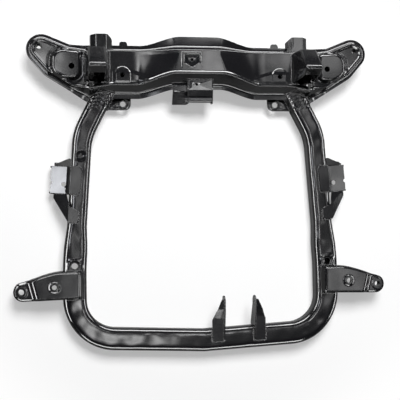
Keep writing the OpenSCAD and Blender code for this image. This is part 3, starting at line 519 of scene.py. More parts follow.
# The recess falls steeply at its rim, then as a bowl
shieldPad = {"rise": 2, "ramp": 3, "depth": 7, "rim": 3, "rimShare": 0.45, "bowl": 16, "bowlShare": 0.55}
shieldPadOutline = rounded([(-58, 364), (-58, 314), (-2, 314), (-2, 364)], [5, 5, 5, 5], True)
recessOutline = rounded(
    [(-51, 360), (-51, 334), (-28, 320), (-5, 334), (-5, 360)], [6, 14, 10, 14, 6], True)


def upperShape(x, y, z):
    ax = np.abs(x)
    z = z.copy()
    top = (z > beam["topFrom"]) & (ax < wing["padTo"])
    z += np.where(top, boss["platform"] * ramp(0, boss["platformRamp"], depthIn(platformOutline, ax, y)), 0)
    bossOnly = boss["rise"] - boss["platform"]
    z += np.where(top, bossOnly * ramp(0, boss["ramp"], depthIn(bossOutline, ax, y)), 0)
    inside = depthIn(padOutline, ax, y)
    moat = wing["moat"] * ramp(*wing["moatStart"], inside) * (1 - ramp(*wing["moatEnd"], inside))
    z -= np.where(top & (ax > wing["padFrom"]), moat, 0)
    rise = np.interp(inside, padRise["inside"], padRise["share"])
    pad = wing["land"] - wing["padSunk"] + (wing["padZ"] - wing["land"] + wing["padSunk"]) * rise
    z = np.where(top & (inside > padRise["inside"][0]), np.maximum(z, pad), z)
    z += np.where(top, shieldPad["rise"] * ramp(0, shieldPad["ramp"], depthIn(shieldPadOutline, x, y)), 0)
    inside = depthIn(recessOutline, x, y)
    bowl = (shieldPad["rimShare"] * ramp(0, shieldPad["rim"], inside)
            + shieldPad["bowlShare"] * ramp(0, shieldPad["bowl"], inside))
    return z - np.where(top, shieldPad["depth"] * bowl, 0)


# Holes as x, y and radius, and the heights between which each sheet is opened
mountHoles = ((418, 379, 7), (336, 326, 7.5))
topHoles = ((207, 304, 6.5), (265, 290, 6))
shieldHole = (-28, 344, 4)
openUpper, openShield, openLower = (55, 110), (60, 110), (-1, 60)
# Bosses and shield pad, where the mesh is twice as fine
fineAreas = [(130, 278, 236, 332), (-236, 278, -130, 332), (-62, 310, 2, 368)]
frontEdge, rearEdge = shellEdges()
upperShell = pressedSheet("crossmemberUpper", frontEdge, rearEdge, upperProfile, [5, 8, 3.5, 4], 43,
                          upperShape, beam["relax"], fineAreas, beam["topFrom"])
openHoles(upperShell.data, [
    *((s * x, y, r, *openUpper) for s in (-1, 1) for x, y, r in mountHoles + topHoles),
    (*shieldHole, *openShield)])
thicken(upperShell, beam["sheet"])
smoothed(upperShell, beam["sharp"])
lowerShell = pressedSheet("crossmemberLower", frontEdge, rearEdge, lowerProfile, [5, 8], 30,
                          lambda x, y, z: z, beam["relax"])
openHoles(lowerShell.data, [(s * x, y, r, *openLower) for s in (-1, 1) for x, y, r in mountHoles])
thicken(lowerShell, beam["sheet"])


# Flat plate of an outline, added to a piece
def addPlate(piece, outline, low, high):
    n = len(outline)
    points = [(x, y, z) for z in (low, high) for x, y in outline]
    faces = [tuple(range(n))[::-1], tuple(range(n, 2 * n))]
    faces += [(i, (i + 1) % n, n + (i + 1) % n, n + i) for i in range(n)]
    addMesh(piece, points, faces)


rearTab = {"x": 202, "half": 12, "taper": 3, "from": 384, "to": 399, "low": 42.5, "high": 45, "round": 6}
for s in (-1, 1):
    x, wide, narrow = s * rearTab["x"], rearTab["half"], rearTab["half"] - rearTab["taper"]
    corners = [(x - wide, rearTab["from"]), (x + wide, rearTab["from"]),
               (x + narrow, rearTab["to"]), (x - narrow, rearTab["to"])]
    radii = [0, 0, rearTab["round"], rearTab["round"]]
    addPlate(lowerShell, rounded(corners, radii, True), rearTab["low"], rearTab["high"])
smoothed(lowerShell, beam["sharp"])
finishPiece(upperShell, sheetPaint, "black_electrocoat", "crossmember_upper_shell")
finishPiece(lowerShell, sheetPaint, "black_electrocoat", "crossmember_lower_shell")
print("crossmember ready", len(upperShell.data.polygons), len(lowerShell.data.polygons))

# Bent tube

tube = {
    "height": 56, "front": 57, "lobe": 60, "side": 50, "rear": 52, "edge": 15, "rise": 2.8,
    "sideX": 333, "waist": (310, 155), "endAngle": 27, "endY": 287, "reach": 383.5, "bow": 16,
    "cornerR": 105, "waistR": 150, "holeY": 184, "ringStep": 2.6, "sharp": 40,
    "cornerBlend": 40, "lobeBlend": (35, 115), "waistBlend": 40, "riseBlend": (-50, 30),
}


def tubeWidth(y):
    corner, waist = -(tube["reach"] - tube["bow"]), tube["waist"][1]
    toLobe = ramp(corner + tube["cornerBlend"], corner + tube["cornerR"], y)
    toSide = ramp(*(b - tube["holeY"] for b in tube["lobeBlend"]), y)
    toRear = ramp(waist - tube["waistBlend"], waist, y)
    return (tube["front"] + (tube["lobe"] - tube["front"]) * toLobe - (tube["lobe"] - tube["side"]) * toSide
            + (tube["rear"] - tube["side"]) * toRear)


def tubeMiddle(y):
    return tube["height"] / 2 + tube["rise"] * ramp(*(tube["waist"][1] + b for b in tube["riseBlend"]), y)


def tubePath():
    endX = tube["waist"][0] - (tube["endY"] - tube["waist"][1]) * math.tan(math.radians(tube["endAngle"]))
    half = rounded(
        [(endX, tube["endY"]), tube["waist"], (tube["sideX"], -tube["holeY"]),
         (tube["sideX"], -(tube["reach"] - tube["bow"])), (0, -tube["reach"])],
        [0, tube["waistR"], 4 * tube["cornerR"], tube["cornerR"], 0], step=2)
    otherHalf = np.stack([-half[:-1, 0], half[:-1, 1]], axis=1)[::-1]
    return stepped(np.concatenate([half, otherHalf]), tube["ringStep"])


def tubeSection(w, h, r):
    corner, flat = 9, 4
    out = []
    for q in range(4):
        cx = (1 if q in (0, 3) else -1) * (w / 2 - r)
        cz = (1 if q < 2 else -1) * (h / 2 - r)
        for k in range(corner):
            a = math.radians(90 * q + 90 * k / (corner - 1))
            out.append((cx + r * math.cos(a), cz + r * math.sin(a)))
        nx = (1 if (q + 1) % 4 in (0, 3) else -1) * (w / 2 - r)
        nz = (1 if (q + 1) % 4 < 2 else -1) * (h / 2 - r)
        a = math.radians(90 * (q + 1))
        end = (nx + r * math.cos(a), nz + r * math.sin(a))
        out += [tuple(mix(np.array(out[-1]), np.array(end), k / flat)) for k in range(1, flat)]
    return np.array(out)


tubeLine = tubePath()
tubeWay = np.gradient(tubeLine, axis=0)
tubeWay /= np.linalg.norm(tubeWay, axis=1)[:, None]
tubeRings = []
for p, d in zip(tubeLine, tubeWay):
    s = tubeSection(float(tubeWidth(p[1])), tube["height"], tube["edge"])
    tubeRings.append(np.stack(
        [p[0] - d[1] * s[:, 0], p[1] + d[0] * s[:, 0], float(tubeMiddle(p[1])) + s[:, 1]], axis=1))
tubeRings = np.array(tubeRings)
# These are views, so a change of ringZ changes the rings
ringX, ringY, ringZ = (tubeRings[..., k] for k in range(3))
dimple = {"at": (-314, 98.5), "flat": 5, "r": 17, "depth": 4.5, "above": 30, "holeR": 4.2, "holeLow": 40}
far = np.hypot(ringX - dimple["at"][0], ringY - dimple["at"][1])
ringZ -= np.where(ringZ > dimple["above"], dimple["depth"] * (1 - ramp(dimple["flat"], dimple["r"], far)), 0)
# Raised collar round each sleeve, and the hole that the sleeve fills
collar = {"at": (333, -184), "flat": 17.5, "outer": 21, "rise": 1.8, "above": 50,
          "holeR": 15.3, "holeLow": -5}
far = np.hypot(np.abs(ringX) - collar["at"][0], ringY - collar["at"][1])
lift = collar["rise"] * (1 - ramp(collar["flat"], collar["outer"], far))
ringZ += np.where(ringZ > collar["above"], lift, 0)
# Crinkles pressed into the tube where it enters the crossmember
crinkle = {"from": 212, "full": 232, "depth": 1.3, "pitch": 10, "sway": 3, "swayPitch": 21,
           "sunk": 0.5, "above": 45, "ahead": 0.89, "inward": 0.45}
alongTube = ringY * crinkle["ahead"] - np.abs(ringX) * crinkle["inward"]
acrossTube = np.abs(ringX) * crinkle["ahead"] + ringY * crinkle["inward"]
sway = crinkle["sway"] * np.sin(2 * np.pi * acrossTube / crinkle["swayPitch"])
folds = np.sin(2 * np.pi * alongTube / crinkle["pitch"] + sway)
ringZ += np.where(
    ringZ > crinkle["above"],
    crinkle["depth"] * folds * ramp(crinkle["from"], crinkle["full"], ringY) - crinkle["sunk"], 0)
# Shallow waves that forming leaves in the tube's top, as (wavelength, direction, phase)
ripple = {"depth": 0.9, "from": 40, "full": 54,
          "waves": ((44, 20, 0.4), (61, 75, 1.9), (37, 130, 4.1), (83, 160, 2.7))}


def waveOf(length, direction, phase):
    angle = math.radians(direction)
    return np.sin(2 * np.pi * (ringX * math.cos(angle) + ringY * math.sin(angle)) / length + phase)


wavy = sum(waveOf(*wave) for wave in ripple["waves"]) / len(ripple["waves"])
ringZ -= ripple["depth"] * (0.5 + 0.5 * wavy) * ramp(ripple["from"], ripple["full"], ringZ)
rings, around = tubeRings.shape[:2]
tubeFaces = [
    (i * around + j, i * around + (j + 1) % around, (i + 1) * around + (j + 1) % around, (i + 1) * around + j)
    for i in range(rings - 1) for j in range(around)]
tubeFaces += [tuple(range(around))[::-1], tuple((rings - 1) * around + j for j in range(around))]
tubePiece = newPiece("bentTube", meshFrom("bentTube", tubeRings.reshape(-1, 3), tubeFaces))
work = bmesh.new()
work.from_mesh(tubePiece.data)
bmesh.ops.recalc_face_normals(work, faces=work.faces)
work.to_mesh(tubePiece.data)
work.free()
for s in (-1, 1):
    cutRound(tubePiece, s * collar["at"][0], collar["at"][1], collar["holeR"], collar["holeLow"])
cutRound(tubePiece, *dimple["at"], dimple["holeR"], dimple["holeLow"])
dropSlivers(tubePiece)
smoothed(tubePiece, tube["sharp"])
finishPiece(tubePiece, tubePaint, "black_electrocoat", "bent_tube")
print("tube ready", len(tubePiece.data.polygons))

# Outriggers

arm = {
    "root": 311, "clear": 363.3, "front": -267, "rear": -195, "sweepPast": 20, "settleFrom": 420,
    "tip": (463, -246), "tipR": 25, "frontArc": (-90, -10.5), "rearArc": (67, -11.5),
    "top": 76, "tipZ": 65, "seat": 56.3, "sill": 3, "rise": (1, 15), "skirt": 40,
    "step": 427, "stepBlend": (-5, 14), "skew": 19,
    "hole": (384, -235), "holeR": 6, "mount": (467, -246), "mountR": 7.5, "open": (50, 90),
    "sheet": 2.5, "sharp": 45, "tall": 100,
}
# Raised rims round the two holes, flat up to the first radius and gone at the second
armRim = {"holeRise": 3, "hole": (11.5, 15), "mountRise": 1, "mount": (14, 16)}


def armEdges():
    tip, r = np.array(arm["tip"], float), arm["tipR"]
    counts = {"tip": 26, "side": 84, "sweep": 240}

    def tipPoints(a, b):
        angles = np.radians(np.linspace(a, b, counts["tip"]))
        return tip + r * np.stack([np.cos(angles), np.sin(angles)], axis=1)

    frontTip, rearTip = tipPoints(*arm["frontArc"]), tipPoints(*arm["rearArc"])
    front = along([(arm["root"], arm["front"]), frontTip[0]], counts["side"])
    endX, endY = rearTip[0]
    x = np.linspace(arm["root"], endX, counts["sweep"])
    y = mix(arm["rear"], endY, ramp(arm["clear"], endX + arm["sweepPast"], x))
    y += (endY - y[-1]) * ramp(arm["settleFrom"], endX, x)
    rear = along(np.stack([x, y], axis=1), counts["side"])
    return np.concatenate([front, frontTip[1:]]), np.concatenate([rear, rearTip[1:]])


def armTop(x, y):
    climb = arm["top"] - arm["seat"] - arm["sill"]
    z = arm["seat"] + arm["sill"] + climb * ramp(*(arm["root"] + b for b in arm["rise"]), x)
    lean = arm["skew"] * np.clip((y - arm["front"]) / (arm["rear"] - arm["front"]), 0, 1)
    return mix(z, arm["tipZ"], ramp(*(arm["step"] + b for b in arm["stepBlend"]), x - lean))


def armShape(x, y, z):
    share = np.clip((z - arm["skirt"]) / arm["tall"], 0, 1)
    z = arm["skirt"] + share * (armTop(x, y) - arm["skirt"])
    hole = np.hypot(x - arm["hole"][0], y - arm["hole"][1])
    mount = np.hypot(x - arm["mount"][0], y - arm["mount"][1])
    flat = share > 0.995
    z += np.where(flat, armRim["holeRise"] * (1 - ramp(*armRim["hole"], hole)), 0)
    return z + np.where(flat, armRim["mountRise"] * (1 - ramp(*armRim["mount"], mount)), 0)


# Wall that leans in, a round bend and the start of the top, at a height that armShape then sets
def armProfile(x, isRear):
    full = arm["skirt"] + arm["tall"]
    return [[0, arm["skirt"]], [1.5, full - 18], [7, full], [9, full]]


armFront, armRear = armEdges()
for s, label in ((1, "right"), (-1, "left")):
    shell = pressedSheet(label + "Outrigger", armFront, armRear, armProfile, [0.01, 6], 34, armShape, 4)
    openHoles(shell.data, [(*arm[k], arm[k + "R"], *arm["open"]) for k in ("hole", "mount")])
    if s < 0:
        shell.data.transform(Matrix.Scale(-1, 4, (1, 0, 0)))
        shell.data.flip_normals()
    thicken(shell, arm["sheet"])
    smoothed(shell, arm["sharp"])
    finishPiece(shell, sheetPaint, "black_electrocoat", label + "_outrigger_shell")
print("outriggers ready")

# Brackets, hoods and plates: copies of the solids with broken edges

# Angles in degrees, lengths in millimetres. Faces larger than flatArea stay flat
soften = {"edge": 30, "sharp": 50, "level": 0.3, "merge": 0.001, "flatArea": 250}


# Breaks all edges, or only the folds between two large faces. Bending and cutting come first
def softened(name, nodeName, width, material, slotName,
             bend=None, cut=None, flatFaces=False, foldsOnly=False):
    flatArea = soften["flatArea"] * meter * meter
    mesh = nodes[nodeName].data.copy()
    mesh.name = name
    if bend:
        for v in mesh.vertices:
            v.co.z += bend(v.co.x / meter, v.co.y / meter, v.co.z / meter) * meter
    piece = newPiece(name, mesh)
    if cut:
        cutRound(piece, *cut)
        mesh = piece.data
    work = bmesh.new()
    work.from_mesh(mesh)
    bmesh.ops.remove_doubles(work, verts=work.verts, dist=soften["merge"] * meter)
    bmesh.ops.dissolve_limit(
        work, angle_limit=math.radians(soften["level"]), verts=work.verts, edges=work.edges)
    if foldsOnly:
        weight = work.edges.layers.float.new("bevel_weight_edge")
        for e in work.edges:
            if (e.is_convex and e.calc_face_angle() > math.radians(soften["edge"])
                    and min(f.calc_area() for f in e.link_faces) > flatArea):
                e[weight] = 1
    work.to_mesh(mesh)
    work.free()
    edge = piece.modifiers.new("edges", "BEVEL")
    edge.width = width * meter
    edge.segments = 3 if foldsOnly else 2
    edge.limit_method = "WEIGHT" if foldsOnly else "ANGLE"
    edge.angle_limit = math.radians(soften["edge"])
    edge.use_clamp_overlap = True
    if not flatFaces:
        flat = piece.modifiers.new("normals", "WEIGHTED_NORMAL")
        flat.keep_sharp = False
    piece.data.shade_smooth()
    settle(piece)
    if flatFaces:
        smoothed(piece, soften["sharp"])
        for face in piece.data.polygons:
            face.use_smooth = face.area < flatArea
    if foldsOnly:
        dropSlivers(piece)
    finishPiece(piece, material, slotName, nodeName)
    return piece


# The arm bracket stands at pivotY on the tube's side, which leans by sideAngle
pivotY = 35
sideAngle = math.atan((tube["sideX"] - tube["waist"][0]) / (tube["waist"][1] + tube["holeY"]))
pivotX = tube["waist"][0] + (tube["waist"][1] - pivotY) * math.tan(sideAngle)
# Its roof falls away from the tube
armRoof = {"start": 34, "fall": 0.17, "low": 30, "high": 43}


def roofFall(x, y, z):
    out = (abs(x) - pivotX) * math.cos(sideAngle) + (y - pivotY) * math.sin(sideAngle)
    return -armRoof["fall"] * max(0, out - armRoof["start"]) * float(ramp(armRoof["low"], armRoof["high"], z))


# The ledge of the centre bracket falls towards the front
ledge = {"start": 288, "fall": 0.1, "low": 73, "high": 78}


def ledgeFall(x, y, z):
    return -ledge["fall"] * max(0, ledge["start"] - y) * float(ramp(ledge["low"], ledge["high"], z))


# The dished mouth of a tube sleeve is a little shallower than in the solid
dish = {"low": 47, "high": 51, "r": 10, "lift": 1.9}


def dishLift(x, y, z):
    inside = math.hypot(abs(x) - collar["at"][0], y - collar["at"][1]) < dish["r"]
    return dish["lift"] if inside and dish["low"] < z < dish["high"] else 0


tieCollar = {"at": (204, 237), "z": 30, "inner": 7.5, "outer": 12.5, "rise": 2.4}
# Access hole under the one in the outrigger's top
plateHole = {"x": 388, "y": -235, "r": 12, "low": 0}
# Width of the broken edge of each kind. Short edges narrow it on ears, tube sleeves and all folded pieces
sheetKinds = {"tower_hood": 1.2, "rear_channel": 3, "tie_plate": 0.9, "outrigger_plate": 0.6,
              "arm_bracket": 3, "arm_rear_gusset": 0.7, "arm_front_gusset": 0.9, "front_ear": 0.9}
hardwareKinds = {"outrigger_sleeve": 0.6, "wing_sleeve": 0.6, "pad_sleeve": 0.6, "tube_sleeve": 2.3,
                 "rack_nut": 0.5, "pivot_nut": 0.5}


def pieceName(label, kind):
    return label + "".join(w.capitalize() for w in kind.split("_"))


for s, label in ((-1, "left"), (1, "right")):
    plateCut = (s * plateHole["x"], plateHole["y"], plateHole["r"], plateHole["low"])
    for kind, width in sheetKinds.items():
        piece = softened(pieceName(label, kind), label + "_" + kind, width, sheetPaint, "black_electrocoat",
                         bend=roofFall if kind == "arm_bracket" else None,
                         cut=plateCut if kind == "outrigger_plate" else None,
                         flatFaces=True, foldsOnly=kind in ("rear_channel", "arm_bracket"))
        if kind == "tie_plate":
            addCollar(piece, s * tieCollar["at"][0], tieCollar["at"][1], tieCollar["z"],
                      tieCollar["inner"], tieCollar["outer"], tieCollar["rise"])
    for kind, width in hardwareKinds.items():
        softened(pieceName(label, kind), label + "_" + kind, width, hardwarePaint, "coated_hardware",
                 bend=dishLift if kind == "tube_sleeve" else None)
softened("centreBracket", "centre_bracket", 3, sheetPaint, "black_electrocoat",
         bend=ledgeFall, flatFaces=True, foldsOnly=True)
softened("centreSpacerTube", "centre_spacer_tube", 0.6, hardwarePaint, "coated_hardware")
print("brackets ready")

# Weld beads: overlapping scales laid along the seams


def treeOf(piece):
    points = [v.co / meter for v in piece.data.vertices]
    return BVHTree.FromPolygons(points, [tuple(p.vertices) for p in piece.data.polygons])


tubeTree, upperTree, lowerTree = treeOf(tubePiece), treeOf(upperShell), treeOf(lowerShell)


# A line seen from above, laid on a piece
def onto(points, tree):
    step, above = 4, 300
    out = []
    for x, y in stepped(points, step):
        hit = tree.ray_cast(Vector((x, y, above)), Vector((0, 0, -1)))[0]
        if hit is not None:
            out.append(tuple(hit))
    return out


# Seam of a tube end with the crossmember: each line along the tube stops at the sheet
def entrySeam(s):
    outside = 95
    angle = math.radians(tube["endAngle"])
    way = Vector((-s * math.sin(angle), math.cos(angle), 0))
    side = Vector((math.cos(angle), s * math.sin(angle), 0))
    endX = tube["waist"][0] - (tube["endY"] - tube["waist"][1]) * math.tan(angle)
    middle = Vector((s * endX, tube["endY"], tube["height"] / 2 + tube["rise"]))
    out = []
    for px, pz in tubeSection(tube["rear"], tube["height"], tube["edge"]):
        start = middle - way * outside + side * float(px) + Vector((0, 0, float(pz)))
        hits = [h for h in (t.ray_cast(start, way)[0] for t in (upperTree, lowerTree)) if h is not None]
        if hits:
            out.append(min(hits, key=lambda h: (h - start).length))
    return [tuple(h) for h in out]


# From the arm bracket's own frame to the part's
def sideFrame(points, s):
    c, n = math.cos(sideAngle), math.sin(sideAngle)
    return [(s * (pivotX + x * c - y * n), pivotY + x * n + y * c) for x, y in points]


def mirroredLine(points, s):
    return [(s * p[0],) + tuple(p[1:]) for p in points]


# Lines of the right side, in the part's frame or, for the arm's pieces, in the arm bracket's
seamLines = {
    "towerFoot": [(262, 286), (240, 286), (239.6, 364.5), (304.4, 364.5), (304, 286), (283, 286)],
    "towerPeak": [(255, 308.5, 181.8), (291, 308.5, 181.8)],
    "outriggerRoot": [(351, -194), (326, -194), (310, -195), (310, -267), (326, -268), (351, -269)],
    "armBracket": [(24, -36), (3, -36), (-3, -30), (-3, 30), (3, 36), (24, 36)],
    "armGusset": [(22, -108.5), (-3, -108.5), (-3, -82), (6, -76)],
    "tiePlate": [(246.0, 221.5, 30.4), (224.9, 263.2, 30.4), (184, 263.4, 30.4)],
    "rearChannel": [(231, 376.5, 49), (233, 373, 60), (247, 368.6, 75.2), (273, 368.6, 75.2), (287, 373, 60),
                    (289, 376.5, 49)],
}
earSeam = {"spans": ((19, 51), (129, 161)), "rear": -353, "front": -386}
centreSeams = [[(-39, 296.2, 84.3), (28, 296.2, 84.3)], [(-76, 281, 69), (-40, 281, 69)]]
seams = []
for s in (-1, 1):
    ring = entrySeam(s)
    seams.append(ring + ring[:1])
    seams.append(onto(mirroredLine(seamLines["towerFoot"], s), upperTree))
    seams.append(onto(mirroredLine(seamLines["outriggerRoot"], s), tubeTree))
    seams += [onto(sideFrame(seamLines[k], s), tubeTree) for k in ("armBracket", "armGusset")]
    seams += [mirroredLine(seamLines[k], s) for k in ("towerPeak", "tiePlate", "rearChannel")]
for x0, x1 in earSeam["spans"]:
    corners = ((x0, "rear"), (x0, "front"), (x1, "front"), (x1, "rear"))
    seams.append(onto([(x, earSeam[end]) for x, end in corners], tubeTree))
seams += centreSeams


# Inputs of the bead tree, lengths in metres
weld = {"Spacing": 0.0030, "Radius": 0.0027, "Flatness": 0.7, "Jitter": 0.18, "Seed": 7, "Paint": weldPaint}


def beadTree():
    tree = bpy.data.node_groups.new("weldBead", "GeometryNodeTree")
    face = tree.interface
    face.new_socket("Geometry", in_out="INPUT", socket_type="NodeSocketGeometry")
    for name in ("Spacing", "Radius", "Flatness", "Jitter"):
        face.new_socket(name, in_out="INPUT", socket_type="NodeSocketFloat").default_value = weld[name]
    face.new_socket("Seed", in_out="INPUT", socket_type="NodeSocketInt").default_value = weld["Seed"]
    face.new_socket("Paint", in_out="INPUT", socket_type="NodeSocketMaterial")
    face.new_socket("Geometry", in_out="OUTPUT", socket_type="NodeSocketGeometry")
    given = addNode(tree, "NodeGroupInput").outputs
    curve = addNode(tree, "GeometryNodeMeshToCurve", {}, {"Mesh": given["Geometry"]})
    even = addNode(tree, "GeometryNodeResampleCurve", {"mode": "LENGTH"}, {
        "Curve": curve.outputs["Curve"], "Length": given["Spacing"]})
    scale = addNode(tree, "GeometryNodeMeshIcoSphere", {}, {"Radius": given["Radius"], "Subdivisions": 2})
    shape = addNode(tree, "ShaderNodeCombineXYZ", {}, {"X": 0.8, "Y": 1.0, "Z": given["Flatness"]})
    formed = addNode(tree, "GeometryNodeTransform", {}, {
        "Geometry": scale.outputs["Mesh"], "Scale": shape.outputs["Vector"]})
    tangent = addNode(tree, "GeometryNodeInputTangent")
    turn = addNode(tree, "FunctionNodeAlignRotationToVector", {"axis": "X"}, {
        "Vector": tangent.outputs["Tangent"]})
    low = addNode(tree, "ShaderNodeMath", {"operation": "SUBTRACT"}, {0: 1.0, 1: given["Jitter"]})
    high = addNode(tree, "ShaderNodeMath", {"operation": "ADD"}, {0: 1.0, 1: given["Jitter"]})
    size = addNode(tree, "FunctionNodeRandomValue", {"data_type": "FLOAT"}, {"Seed": given["Seed"]})
    tree.links.new(low.outputs[0], size.inputs[2])
    tree.links.new(high.outputs[0], size.inputs[3])
    laid = addNode(tree, "GeometryNodeInstanceOnPoints", {}, {
        "Points": even.outputs["Curve"], "Instance": formed.outputs["Geometry"],
        "Rotation": turn.outputs["Rotation"], "Scale": size.outputs[1]})
    real = addNode(tree, "GeometryNodeRealizeInstances", {}, {"Geometry": laid.outputs["Instances"]})
    soft = addNode(tree, "GeometryNodeSetShadeSmooth", {}, {"Geometry": real.outputs["Geometry"]})
    painted = addNode(tree, "GeometryNodeSetMaterial", {}, {
        "Geometry": soft.outputs[0], "Material": given["Paint"]})
    addNode(tree, "NodeGroupOutput", {}, {"Geometry": painted.outputs["Geometry"]})
    return tree


seamPoints, seamEdges = [], []
for line in seams:
    base = len(seamPoints)
    seamPoints += [tuple(p) for p in line]
    seamEdges += [(base + k, base + k + 1) for k in range(len(line) - 1)]
seamMesh = bpy.data.meshes.new("weldBeads")
seamMesh.from_pydata((np.array(seamPoints) * meter).tolist(), seamEdges, [])
welds = newPiece("weldBeads", seamMesh)
bead = welds.modifiers.new("bead", "NODES")
bead.node_group = beadTree()
for item in bead.node_group.interface.items_tree:
    if item.in_out == "INPUT" and item.name in weld:
        bead[item.identifier] = weld[item.name]
settle(welds)
finishPiece(welds, weldPaint, "black_electrocoat")
print("welds ready", len(welds.data.polygons))

# Floor, light and camera

# Pale floor: it fades to white between two distances in metres, and is duller in reflections
floorLook = {"half": 800, "z": -0.2, "grey": 0.9, "fadeFrom": 0.5, "fadeTo": 0.78,
             "glowNear": 0.4, "dull": 0.65}
floorMesh = meshFrom(
    "floor", [(x * floorLook["half"], y * floorLook["half"], floorLook["z"])
              for x, y in ((-1, -1), (1, -1), (1, 1), (-1, 1))], [(0, 1, 2, 3)])
floor = newPiece("floor", floorMesh)
floorPaint = bpy.data.materials.new("paleStudioFloor")
floorPaint.use_nodes = True
tree = floorPaint.node_tree
tree.nodes.clear()
matte = addNode(tree, "ShaderNodeBsdfDiffuse", {}, {"Color": (*[floorLook["grey"]] * 3, 1)})
glow = addNode(tree, "ShaderNodeEmission", {}, {"Color": (1, 1, 1, 1), "Strength": 1.0})
path = addNode(tree, "ShaderNodeLightPath")
place = addNode(tree, "ShaderNodeTexCoord").outputs["Object"]
far = addNode(tree, "ShaderNodeVectorMath", {"operation": "LENGTH"}, {0: place})
fade = addNode(tree, "ShaderNodeMapRange", {"interpolation_type": "SMOOTHSTEP"}, {
    "Value": far.outputs["Value"], "From Min": floorLook["fadeFrom"], "From Max": floorLook["fadeTo"],
    "To Min": floorLook["glowNear"], "To Max": 1})
share = addNode(tree, "ShaderNodeMath", {"operation": "MULTIPLY"}, {
    0: path.outputs["Is Camera Ray"], 1: fade.outputs["Result"]})
soft = addNode(tree, "ShaderNodeMath", {"operation": "MULTIPLY"}, {
    0: path.outputs["Is Glossy Ray"], 1: floorLook["dull"]})
black = addNode(tree, "ShaderNodeBsdfDiffuse", {}, {"Color": (0, 0, 0, 1)})
duller = addNode(tree, "ShaderNodeMixShader", {}, {
    "Fac": soft.outputs["Value"], 1: matte.outputs["BSDF"], 2: black.outputs["BSDF"]})
seen = addNode(tree, "ShaderNodeMixShader", {}, {
    "Fac": share.outputs["Value"], 1: duller.outputs["Shader"], 2: glow.outputs["Emission"]})
addNode(tree, "ShaderNodeOutputMaterial", {}, {"Surface": seen.outputs["Shader"]})
floorMesh.materials.append(floorPaint)

# White behind the part, nearly dark in reflections
world = bpy.data.worlds.new("studio")
world.use_nodes = True
tree = world.node_tree
tree.nodes.clear()
path = addNode(tree, "ShaderNodeLightPath")
shown = addNode(tree, "ShaderNodeBackground", {}, {"Color": (1, 1, 1, 1), "Strength": 1.0})
dark = addNode(tree, "ShaderNodeBackground", {}, {"Color": (0.9, 0.95, 1, 1), "Strength": 0.03})
both = addNode(tree, "ShaderNodeMixShader", {}, {
    "Fac": path.outputs["Is Camera Ray"], 1: dark.outputs["Background"], 2: shown.outputs["Background"]})
addNode(tree, "ShaderNodeOutputWorld", {}, {"Surface": both.outputs["Shader"]})
scene.world = world


# Lamp that is bright in the middle and fades towards its edges, as a softbox does
def fadeLamp(lamp):
    lamp.use_nodes = True
    tree = lamp.node_tree
    tree.nodes.clear()
    at = addNode(tree, "ShaderNodeNewGeometry").outputs["Parametric"]
    axes = addNode(tree, "ShaderNodeSeparateXYZ", {}, {"Vector": at})
    fades = []
    for axis in ("X", "Y"):
        off = addNode(tree, "ShaderNodeMath", {"operation": "SUBTRACT"}, {0: axes.outputs[axis], 1: 0.5})
        away = addNode(tree, "ShaderNodeMath", {"operation": "ABSOLUTE"}, {0: off.outputs["Value"]})
        fade = addNode(tree, "ShaderNodeMapRange", {"interpolation_type": "SMOOTHSTEP"}, {
            "Value": away.outputs["Value"], "From Min": 0, "From Max": 0.5, "To Min": 1, "To Max": 0})
        fades.append(fade.outputs["Result"])
    level = addNode(tree, "ShaderNodeMath", {"operation": "MULTIPLY"}, {0: fades[0], 1: fades[1]})
    glow = addNode(tree, "ShaderNodeEmission", {}, {"Strength": level.outputs["Value"]})
    addNode(tree, "ShaderNodeOutputLight", {}, {"Surface": glow.outputs["Emission"]})


# Lamps by radiance: power follows from their area.
# A lamp for the floor isn't mirrored, and a strip doesn't light the floor
def areaLight(name, at, target, size, radiance, mirrored=True, lights=True, color=(1, 1, 1), fades=False):
    lamp = bpy.data.lights.new(name, "AREA")
    lamp.shape = "RECTANGLE"
    lamp.size, lamp.size_y = size
    lamp.energy = radiance * math.pi * size[0] * size[1]
    lamp.color = color
    if fades:
        fadeLamp(lamp)
    piece = bpy.data.objects.new(name, lamp)
    scene.collection.objects.link(piece)
    piece.location = at
    piece.rotation_euler = (Vector(target) - Vector(at)).to_track_quat("-Z", "Y").to_euler()
    piece.visible_glossy = mirrored
    piece.visible_diffuse = lights


areaLight("floorKey", (0.3, 1.9, 3.4), (0, 0, 0), (1.6, 1.6), 25, mirrored=False)
areaLight("overheadBox", (0.45, 0.05, 2.7), (0.45, 0.05, 0), (2.8, 2.8), 0.6, fades=True)
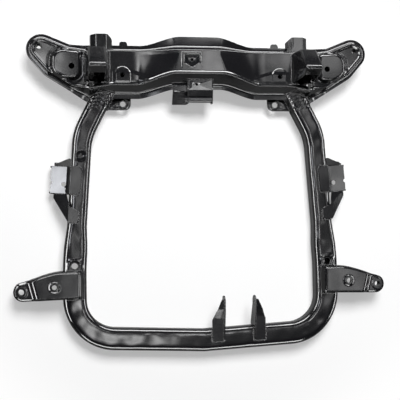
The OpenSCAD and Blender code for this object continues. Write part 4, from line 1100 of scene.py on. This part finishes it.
# Soft boxes that face straight down, as place, size, radiance and color
white, coolWhite = (1, 1, 1), (0.93, 0.95, 1)
softBoxes = {
    "rearBox": ((0.45, 0.86, 2.55), (0.5, 0.9), 7, white),
    "rightHigh": ((0.98, 0.94, 2.5), (0.8, 0.55), 5.5, white),
    "rightTop": ((1.02, 0.6, 2.5), (0.5, 0.9), 3.5, white),
    "frontPatch": ((-0.12, -0.64, 2.45), (0.8, 0.62), 13, white),
    "leftTop": ((-0.32, 0.1, 2.5), (0.28, 1.4), 4, white),
    "rightRoof": ((2.0, 0.22, 2.2), (0.9, 0.7), 5, white),
    "rightArm": ((1.15, -0.37, 2.4), (0.5, 0.4), 5, white),
    "bracketPatch": ((0.38, 0.0, 2.5), (0.4, 0.8), 20, white),
    "leftHigh": ((-1.16, 0.22, 2.2), (0.8, 0.7), 22, coolWhite),
    "rampPatch": ((-0.5, 0.74, 2.3), (0.34, 0.5), 13, white),
}
for name, (at, size, radiance, color) in softBoxes.items():
    areaLight(name, at, (at[0], at[1], 0), size, radiance, lights=False, color=color, fades=True)
# Long strips round the part that draw its edges, as place, target, size and radiance
strips = {
    "leftStrip": ((-1.9, 0.1, 0.82), (0, 0.05, 0.05), (2.6, 0.44), 24),
    "rightStrip": ((1.9, 0.1, 0.7), (0, 0.05, 0.05), (2.6, 0.36), 20),
    "rearStrip": ((0, 1.9, 0.5), (0, 0.1, 0.05), (2.6, 0.66), 22),
    "frontStrip": ((-0.2, -1.9, 0.68), (0, -0.1, 0.05), (2.6, 0.5), 17),
}
for name, (at, target, size, radiance) in strips.items():
    areaLight(name, at, target, size, radiance, lights=False)

# Fitted to hole pairs in the photo
photoView = {"at": (-0.3375, -0.1158, 2.2391), "ahead": (0.1493, 0.0445, -0.9878),
             "up": (0.0099, 0.9989, 0.0465), "lens": 76.15, "sensor": 36}
camera = bpy.data.cameras.new("photoCamera")
camera.sensor_fit = "HORIZONTAL"
camera.sensor_width = photoView["sensor"]
camera.lens = photoView["lens"]
view = bpy.data.objects.new("photoCamera", camera)
scene.collection.objects.link(view)
ahead = Vector(photoView["ahead"]).normalized()
up = Vector(photoView["up"])
up = (up - ahead * up.dot(ahead)).normalized()
across = ahead.cross(up)
pose = Matrix((across, up, -ahead)).transposed().to_4x4()
pose.translation = photoView["at"]
view.matrix_world = pose
scene.camera = view
scene.view_settings.view_transform = "Standard"
